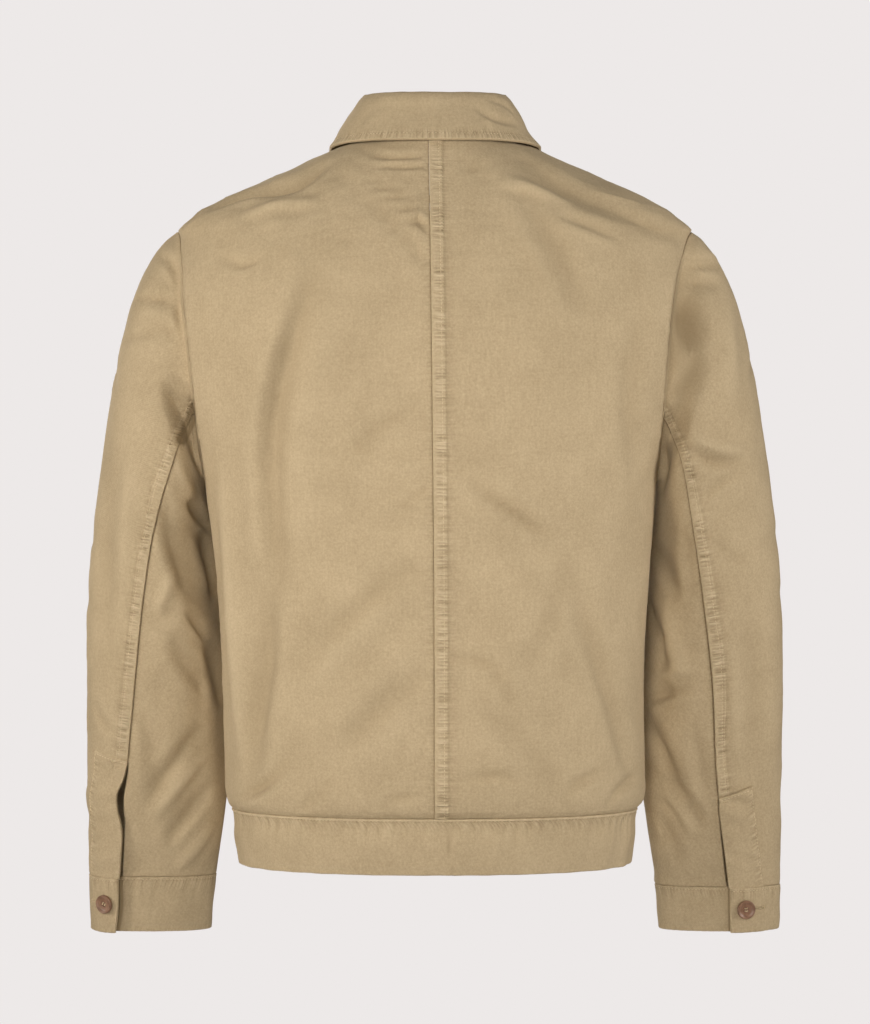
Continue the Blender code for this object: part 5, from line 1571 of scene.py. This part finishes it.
def collarMarks(station):
    seam, seamNormal, on = neckSeam(station)
    fold, before, after = (
        np.array([float(curve(collarFoldRows, k, station + step)) for k in (1, 2, 3)])
        for step in (0.0, -0.03, 0.03)
    )
    if station <= 1:
        z = mix(collarSize["edgeBack"], collarSize["edgeSide"], station)
        n = float(squareness(z))
        x = float(halfWidth("left", "back", z)) * math.sin(station * math.pi / 2) ** (2 / n)
        face = "back"
    else:
        x = float(curve(collarEdgeRows, 1, station))
        z = float(curve(collarEdgeRows, 2, station))
        face = "front"
    y = float(bodyY("left", face, x, z))
    off = bodyNormal("left", face, np.array(x), np.array(y), np.array(z))
    edge = np.array((x, y, z)) + off * (collarSize["off"] + collarSize["cloth"])
    run = unit(after - before) if station > 0 else np.array((1.0, 0.0, 0.0))
    down = np.array((0.0, 0.0, -1.0))
    down = unit(down - run * (down @ run))
    out = np.cross(run, down)
    base = seam + on * 0.4 - seamNormal * (collarSize["cloth"] - 0.3)
    return np.array((
        base,
        mix(base, fold + down * 11.0 - out * 1.5, 0.5),
        fold + down * 11.0 - out * 1.5,
        fold + down * 3.4 - out * 0.6,
        fold + out * 2.6,
        fold + down * 2.8 + out * 6.0,
        mix(fold + down * 2.0 + out * 6.0, edge, 0.33),
        mix(fold + down * 2.0 + out * 6.0, edge, 0.68),
        edge,
    )), seamNormal


# as for the body, in pixels of the picture
collarFolds = {
    "photo": (
        (4, -1.5, 0.3, (474, 108), (496, 120), (520, 126)),
        (3, -1, 0.3, (486, 100), (506, 108), (516, 118)),
        (3.4, 0.7, 0, (470, 128), (486, 122), (500, 134)),
        (5, -0.5, 0.2, (352, 132), (364, 122), (372, 106)),
        (8, -0.4, 0.2, (398, 128), (410, 114), (440, 108)),
    ),
    "front": (
        (7, -0.8, 0.2, (86, -20), (78, -44), (62, -66)),
        (7, -0.8, 0.2, (-86, -24), (-80, -44), (-60, -64)),
    ),
}


def collarSheet():
    stations = np.linspace(0, 2, collarPiece["stations"] + 1)
    stations[-1] = 1.985
    stations = np.unique(np.concatenate((stations, (1.98, 1.972))))
    pairs = [collarMarks(float(station)) for station in stations]
    marks = np.array([m for m, _ in pairs])
    marks = np.concatenate((marks[:0:-1] * (-1, 1, 1), marks))
    rows = marks.shape[0]
    steps = np.linalg.norm(np.diff(marks, axis=1), axis=-1).mean(axis=0)
    place = np.concatenate(([0.0], np.cumsum(steps)))
    at = spots(place[-1], place[-1] / collarPiece["profile"],
               (place[-1], (-0.25, -0.7, -1.3, -2.2, -3.6, -5.0, -5.7, -6.2, -6.7, -7.4, -9.0)))
    points = np.empty((rows, len(at), 3))
    for k in range(3):
        for i in range(rows):
            points[i, :, k] = curve(np.column_stack((place, marks[i, :, k])), 1, at)
    across, along = (np.empty_like(points) for _ in range(2))
    across[1:-1] = points[2:] - points[:-2]
    across[0], across[-1] = points[1] - points[0], points[-1] - points[-2]
    along[:, 1:-1] = points[:, 2:] - points[:, :-2]
    along[:, 0], along[:, -1] = points[:, 1] - points[:, 0], points[:, -1] - points[:, -2]
    facing = unit(np.cross(across, along))
    if facing[rows // 2, -2, 1] < 0:
        facing = -facing
    toEdge = fromEnd(lengths(points, 1), 1)
    travel = lengths(points, 0)
    s = travel[:, -1:]
    toEnds = np.minimum(travel, fromEnd(travel, 0))
    leaf = eased((56.0 - toEdge) / 8.0)
    some, way, onLeaf = points[::2, ::2], facing[::2, ::2, 1], toEdge[::2, ::2] < 52
    samples = {"photo": some[(way > 0.05) & onLeaf], "front": some[(way < -0.05) & onLeaf]}
    shape = 1.8 * foldField(points, facing, collarFolds, samples) * leaf
    stitched = collarPiece["stitched"]
    holes = 0.5 + 0.5 * np.cos(2 * math.pi * s / 3.1)
    edging = eased(toEdge / 1.4) * eased((stitched + 0.4 - toEdge) / 1.6)
    tuck = wobble(s + 0.2 * toEdge, 5.2, 61)
    shape -= 0.34 * ridge(toEdge, stitched, 0.65)
    shape -= 0.14 * holes * ridge(toEdge, stitched, 0.6)
    shape += 0.15 * tuck * edging
    beyond = fade(np.maximum(toEdge - stitched, 0), 5) * eased((toEdge - stitched) / 1.5)
    shape += 0.16 * wobble(s + 0.5 * toEdge, 8.0, 62) * beyond
    shape += 0.20 * ripple(points, 40.0, 63) * leaf * eased(toEdge / 8)
    shape += 0.08 * ripple(points, 14.0, 64) * leaf
    shape += rolled(toEdge, 1.3, 1.0) + rolled(toEnds, 1.2, 0.9)
    rubbed = 0.34 * fade(toEdge, 1.1) + 0.22 * np.clip(tuck, -1, 1) * edging
    # painted shade along the stitch line and in its holes
    rubbed -= 0.36 * (0.6 + 0.4 * holes) * ridge(toEdge, stitched, 0.7)
    maps = s + 0 * toEdge, toEdge
    puckered = 0.7 * eased(toEdge / 1.2) * ridge(np.maximum(toEdge - stitched, 0), 0, 3)
    return layCloth("collar", points, facing, shape, collarSize["cloth"], maps, rubbed, puckered,
                    clothAcross, collarPiece["flat"], held="folded")


made["collar"] = collarSheet()
print("collar made")

# Buttons
button = {
    "radius": 9.2,
    "thick": 3.2,
    "rim": 2.5,
    "dish": 1.0,
    "hole": 0.95,
    "holeOut": 1.75,
    "off": 0.35,
    "threadWide": 0.5,
    "turned": {
        "cuff_left": 1.2, "cuff_right": 0.08, "front_1": 0.1, "front_2": -0.25,
        "front_3": 0.4, "front_4": 0.05, "front_5": -0.4, "front_6": 0.2,
    },
    "on": {"cuff_left": "cuff_left", "cuff_right": "cuff_right", "front_6": "hem_band"},
}


def applyModifiers(piece):
    activate(piece)
    for modifier in list(piece.modifiers):
        bpy.ops.object.modifier_apply(modifier=modifier.name)


def chooseFace(piece, way):
    # the flat face furthest along way, chosen in edit mode
    bpy.ops.object.mode_set(mode="OBJECT")
    flat = [face for face in piece.data.polygons if face.normal.z * way > 0.95]
    for face in piece.data.polygons:
        face.select = False
    max(flat, key=lambda face: face.center.z * way).select = True
    bpy.ops.object.mode_set(mode="EDIT")


def buttonModel():
    radius, thick = button["radius"] * mm, button["thick"] * mm
    bpy.ops.object.select_all(action="DESELECT")
    middle = thick / 2
    bpy.ops.mesh.primitive_cylinder_add(
        vertices=40, radius=radius, depth=thick, location=(0, 0, middle)
    )
    piece = bpy.context.object
    bpy.ops.object.transform_apply(location=True, rotation=True, scale=True)
    bpy.ops.object.mode_set(mode="EDIT")
    bpy.ops.mesh.select_mode(type="FACE")
    chooseFace(piece, 1)
    bpy.ops.transform.resize(value=(0.93, 0.93, 1.0))
    bpy.ops.mesh.inset(thickness=button["rim"] * 0.5 * mm)
    bpy.ops.mesh.inset(thickness=button["rim"] * 0.5 * mm)
    bpy.ops.transform.translate(value=(0, 0, -button["dish"] * mm))
    bpy.ops.mesh.inset(thickness=1.4 * mm)
    bpy.ops.transform.translate(value=(0, 0, -0.35 * mm))
    chooseFace(piece, -1)
    bpy.ops.mesh.inset(thickness=1.5 * mm)
    bpy.ops.mesh.select_all(action="SELECT")
    bpy.ops.mesh.normals_make_consistent(inside=False)
    bpy.ops.object.mode_set(mode="OBJECT")
    soft = piece.modifiers.new("soft", "BEVEL")
    soft.width = 0.45 * mm
    soft.segments = 3
    soft.limit_method = "ANGLE"
    soft.angle_limit = math.radians(24)
    cutters = []
    holeOut = button["holeOut"] * mm
    for k in range(4):
        turn = math.pi / 4 + k * math.pi / 2
        bpy.ops.object.select_all(action="DESELECT")
        bpy.ops.mesh.primitive_cylinder_add(
            vertices=14, radius=button["hole"] * mm, depth=thick * 3,
            location=(holeOut * math.cos(turn), holeOut * math.sin(turn), middle),
        )
        cutter = bpy.context.object
        hole = piece.modifiers.new("hole", "BOOLEAN")
        hole.operation = "DIFFERENCE"
        hole.object = cutter
        cutters.append(cutter)
    applyModifiers(piece)
    for cutter in cutters:
        bpy.data.objects.remove(cutter)
    activate(piece)
    bpy.ops.object.shade_smooth_by_angle(angle=math.radians(40))
    piece.data.materials.append(horn)
    return piece


def cordMesh(paths, radius, sides=6):
    # round cords with blunt ends, one after another in a single mesh
    ring = 2 * math.pi * np.arange(sides) / sides
    points, faces = [], []
    for path in paths:
        path = np.asarray(path, float)
        run = np.gradient(path, axis=0)
        run = run / np.linalg.norm(run, axis=1, keepdims=True)
        hint = np.array((0.0, 0.0, 1.0)) if abs(run[0][2]) < 0.9 else np.array((1.0, 0.0, 0.0))
        side = unit(np.cross(run, hint))
        lift = np.cross(side, run)
        begin = len(points)
        thin = np.ones(len(path))
        thin[0] = thin[-1] = 0.55
        for k in range(len(path)):
            for turn in ring:
                out = math.cos(turn) * side[k] + math.sin(turn) * lift[k]
                points.append(path[k] + radius * thin[k] * out)
        for k in range(len(path) - 1):
            for m in range(sides):
                a, b = begin + k * sides + m, begin + k * sides + (m + 1) % sides
                faces.append((a, b, b + sides, a + sides))
        faces.append(tuple(begin + m for m in range(sides))[::-1])
        faces.append(tuple(begin + (len(path) - 1) * sides + m for m in range(sides)))
    return np.array(points), faces


def threadPiece(name, paths, radius, sides=6):
    points, faces = cordMesh(paths, radius, sides)
    mesh = bpy.data.meshes.new(name)
    mesh.from_pydata((points * mm).tolist(), [], faces)
    piece = bpy.data.objects.new(name, mesh)
    bpy.context.scene.collection.objects.link(piece)
    mesh.materials.append(thread)
    activate(piece)
    bpy.ops.object.mode_set(mode="EDIT")
    bpy.ops.mesh.select_all(action="SELECT")
    bpy.ops.mesh.normals_make_consistent(inside=False)
    bpy.ops.object.mode_set(mode="OBJECT")
    bpy.ops.object.shade_smooth_by_angle(angle=math.radians(60))
    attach(piece, "root")
    return piece


def placeOf(node):
    found = np.array([vertex.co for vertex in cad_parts[node].data.vertices], float) / mm
    middle = found.mean(axis=0)
    normal = np.linalg.svd(found - middle)[2][2]
    out = 1.0 if "cuff" in node else -1.0
    return middle, normal * np.sign(normal[1] * out)


def putButton(model, name):
    node = "button_" + name
    middle, normal = placeOf(node)
    host, _ = made[button["on"].get(name, "front_left")]
    host = settled(host.reshape(-1, 3))
    apart = host - middle
    beside = np.linalg.norm(apart - (apart @ normal)[:, None] * normal, axis=1)
    near = (beside < 8.0) & (np.abs(apart @ normal) < 9.0)
    highest = np.sort(apart[near] @ normal)[-max(3, int(near.sum() * 0.3)):]
    rise = min(max(float(np.mean(highest)), -2.6), 0.4) if near.any() else -1.4
    back = middle + normal * (rise + button["off"])
    up = unit(np.cross(np.cross(normal, (0.0, 0.0, 1.0)), normal))
    side = np.cross(up, normal)
    turn = button["turned"][name]
    first = side * math.cos(turn) + up * math.sin(turn)
    second = np.cross(normal, first)
    turned = np.column_stack((first, second, normal))
    activate(model)
    bpy.ops.object.duplicate(linked=False)
    piece = bpy.context.object
    piece.name = "button" + name.title().replace("_", "")
    flat = np.empty(len(piece.data.vertices) * 3)
    piece.data.vertices.foreach_get("co", flat)
    placed = flat.reshape(-1, 3) @ turned.T + back * mm
    piece.data.vertices.foreach_set("co", placed.ravel())
    piece.data.update()
    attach(piece, "root")
    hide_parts(node)
    out = button["holeOut"] * math.sin(math.pi / 4)
    top = button["thick"] - button["dish"] - 0.35
    paths = []
    for row in (-out, out):
        for lie, high in ((-0.22, 0.25), (0.22, 0.3)):
            rises = ((1, -1.6), (0.95, high * 0.4), (0.4, high + 0.1))
            half = [(out * share, row + lie, top + rise) for share, rise in rises]
            paths.append([(-x, y, z) for x, y, z in half] + half[::-1])
    paths = [np.array(path) @ turned.T + back for path in paths]
    sewn = "sewn" + piece.name[0].upper() + piece.name[1:]
    threadPiece(sewn, paths, button["threadWide"] / 2)


model = buttonModel()
for name in button["turned"]:
    putButton(model, name)
bpy.data.objects.remove(model)
print("buttons made")

# Sewing: pitch and length of a stitch, thickness of its thread, how far it stands out
stitch = {"pitch": 3.2, "long": 2.3, "thick": 0.5, "proud": 0.10}


def alongLine(outer, facing, measure, at):
    # one point on each row of the sheet, where measure passes at
    points, normals = [], []
    for k in range(len(outer)):
        row = measure[k]
        order = np.argsort(row)
        place = float(np.interp(at, row[order], order))
        low = int(min(math.floor(place), len(order) - 2))
        low = max(low, 0)
        t = np.clip((at - row[low]) / (row[low + 1] - row[low] + 1e-9), 0, 1)
        points.append(mix(outer[k, low], outer[k, low + 1], t))
        normals.append(mix(facing[k, low], facing[k, low + 1], t))
    return np.array(points), unit(np.array(normals))


def stitchRow(points, normals, begin, finish):
    long = stitch["long"]
    points = settled(points)
    travel = np.concatenate(([0.0], np.cumsum(np.linalg.norm(np.diff(points, axis=0), axis=1))))
    paths = []
    at = begin
    while at + long < travel[-1] - finish:
        places = at + long * np.array((0.0, 0.22, 0.5, 0.78, 1.0))
        here = np.column_stack([np.interp(places, travel, points[:, k]) for k in range(3)])
        out = unit(np.column_stack([np.interp(places, travel, normals[:, k]) for k in range(3)]))
        high = np.array((-0.28, 0.02, stitch["proud"], 0.02, -0.28))
        paths.append(here + out * high[:, None])
        at += stitch["pitch"]
    return paths


def turnedGrid(name):
    outer, facing = made[name]
    return np.swapaxes(outer, 0, 1), np.swapaxes(facing, 0, 1)


def sewSeams():
    rows = {}
    outer, facing = made["back_right"]
    line = alongLine(outer, facing, grids["back_right"][2], panels["back_right"]["stitched"])
    rows["stitchesBack"] = stitchRow(*line, 3, 3)
    outer, facing = made["front_left"]
    line = alongLine(outer, facing, grids["front_left"][2], panels["front_left"]["stitched"])
    rows["stitchesFront"] = stitchRow(*line, 3, 3)
    for side in ("left", "right"):
        outer, facing = made["sleeve_" + side]
        column = sleeves["strip"].index(sleeves["stitched"])
        z = outer[:, column, 2]
        kept = z > form["slitTop"][side] + 2
        if side == "left":
            kept &= z < -262
        line = outer[kept, column], facing[kept, column]
        rows["stitchesSleeve" + side.title()] = stitchRow(*line, 3, 1)
        outer, facing = turnedGrid("cuff_" + side)
        line = alongLine(outer, facing, lengths(outer, 1), cuffs["stitched"])
        rows["stitchesCuff" + side.title()] = stitchRow(*line, 3, 3)
        outer, facing = made["placket_" + side]
        besideEnd, belowTop = cuffs["placketStitched"]
        line = alongLine(outer, facing, fromEnd(lengths(outer, 1), 1), besideEnd)
        across = turnedGrid("placket_" + side)
        top = alongLine(*across, lengths(across[0], 1), belowTop)
        rows["stitchesPlacket" + side.title()] = stitchRow(*line, 3, 2) + stitchRow(*top, 2, 3)
    outer, facing = turnedGrid("hem_band")
    line = alongLine(outer, facing, lengths(outer, 1), hemBand["stitched"])
    rows["stitchesBand"] = stitchRow(*line, 3, 3)
    outer, facing = made["collar"]
    line = alongLine(outer, facing, fromEnd(lengths(outer, 1), 1), collarPiece["stitched"])
    paths = stitchRow(*line, 7, 7)
    leaf = fromEnd(lengths(outer, 1), 1).mean(axis=0) < 46
    outer, facing = np.swapaxes(outer[:, leaf], 0, 1), np.swapaxes(facing[:, leaf], 0, 1)
    for at in (lengths(outer, 1), fromEnd(lengths(outer, 1), 1)):
        paths += stitchRow(*alongLine(outer, facing, at, 5.5), 3, 7)
    rows["stitchesCollar"] = paths
    for name, paths in rows.items():
        threadPiece(name, paths, stitch["thick"] / 2, sides=5)
        print(name, len(paths))


sewSeams()


# Bar tacks and buttonholes are close rows of short cords laid on the cloth.
closeSewing = {
    "bar": 0.38,
    "tacks": (
        ("placket_left", (112.5, 762.5), (120.5, 759.0), 1.9),
        ("placket_left", (117.0, 769.0), (120.0, 768.2), 1.7),
        ("placket_right", (720.5, 803.0), (728.0, 801.0), 1.9),
        ("placket_right", (755.5, 792.0), (759.0, 791.4), 1.9),
    ),
    # button, way the hole runs, where it begins and ends from the button's middle
    "holes": (
        ("cuff_right", (-1.0, 0.0, -0.02), -3.0, 20.5),
        ("cuff_left", (1.0, 0.0, 0.04), -3.0, 17.0),
        *((f"front_{k}", (0.0, 0.0, 1.0), -10.5, 10.5) for k in range(1, 6)),
        ("front_6", (1.0, 0.0, 0.0), -3.0, 18.0),
    ),
}


def onto(host, points, normal):
    # lays points on the topmost layer of a sheet, along a direction
    laid = []
    for point in points:
        apart = host - point
        high = apart @ normal
        beside = np.linalg.norm(apart - high[:, None] * normal, axis=1)
        close = np.nonzero((beside < 5.0) & (np.abs(high) < 12))[0]
        if len(close) == 0:
            laid.append(point)
            continue
        close = close[np.argsort(beside[close])[:14]]
        top = high[close].max()
        close = close[high[close] > top - 1.3]
        weight = 1 / (beside[close] + 0.3) ** 2
        laid.append(point + normal * float((high[close] * weight).sum() / weight.sum()))
    return np.array(laid)


def crossBar(host, begin, end, normal, wide, pitch, offset=0.0):
    along = unit(end - begin)
    across = np.cross(normal, along)
    count = max(2, int(np.linalg.norm(end - begin) / pitch))
    paths = []
    for t in np.linspace(0, 1, count):
        middle = mix(begin, end, t) + across * offset
        ends = onto(host, [middle - across * wide / 2, middle, middle + across * wide / 2], normal)
        lean = along * 0.12
        low, high = normal * 0.1, normal * 0.4
        paths.append([ends[0] - low - lean, ends[1] + high, ends[2] - low + lean])
    return paths


def sewClose():
    paths = []
    for name, begin, end, wide in closeSewing["tacks"]:
        outer, facing = made[name]
        host = settled(outer.reshape(-1, 3))
        seen = seenFrom(host, "photo")
        ends = [int(np.argmin(((seen - mark) ** 2).sum(axis=1))) for mark in (begin, end)]
        normal = unit(facing.reshape(-1, 3)[ends].mean(axis=0))
        paths += crossBar(host, host[ends[0]], host[ends[1]], normal, wide, closeSewing["bar"])
    threadPiece("barTacks", paths, 0.2, sides=5)
    paths = []
    for name, way, begin, end in closeSewing["holes"]:
        middle, normal = placeOf("button_" + name)
        outer, _ = made[button["on"].get(name, "front_left")]
        host = settled(outer.reshape(-1, 3))
        host = host[np.linalg.norm(host - middle, axis=1) < 40]
        along = np.array(way) - normal * (np.array(way) @ normal)
        along = unit(along)
        first, last = middle + along * begin, middle + along * end
        for offset in (-0.95, 0.95):
            paths += crossBar(host, first, last, normal, 1.4, 0.46, offset)
        across = np.cross(normal, along)
        for place in (first, last):
            paths += crossBar(host, place - across * 1.3, place + across * 1.3, normal, 1.5, 0.42)
    threadPiece("buttonholes", paths, 0.3, sides=4)
    print("tacks and holes", len(paths))


sewClose()
print("sewing done")
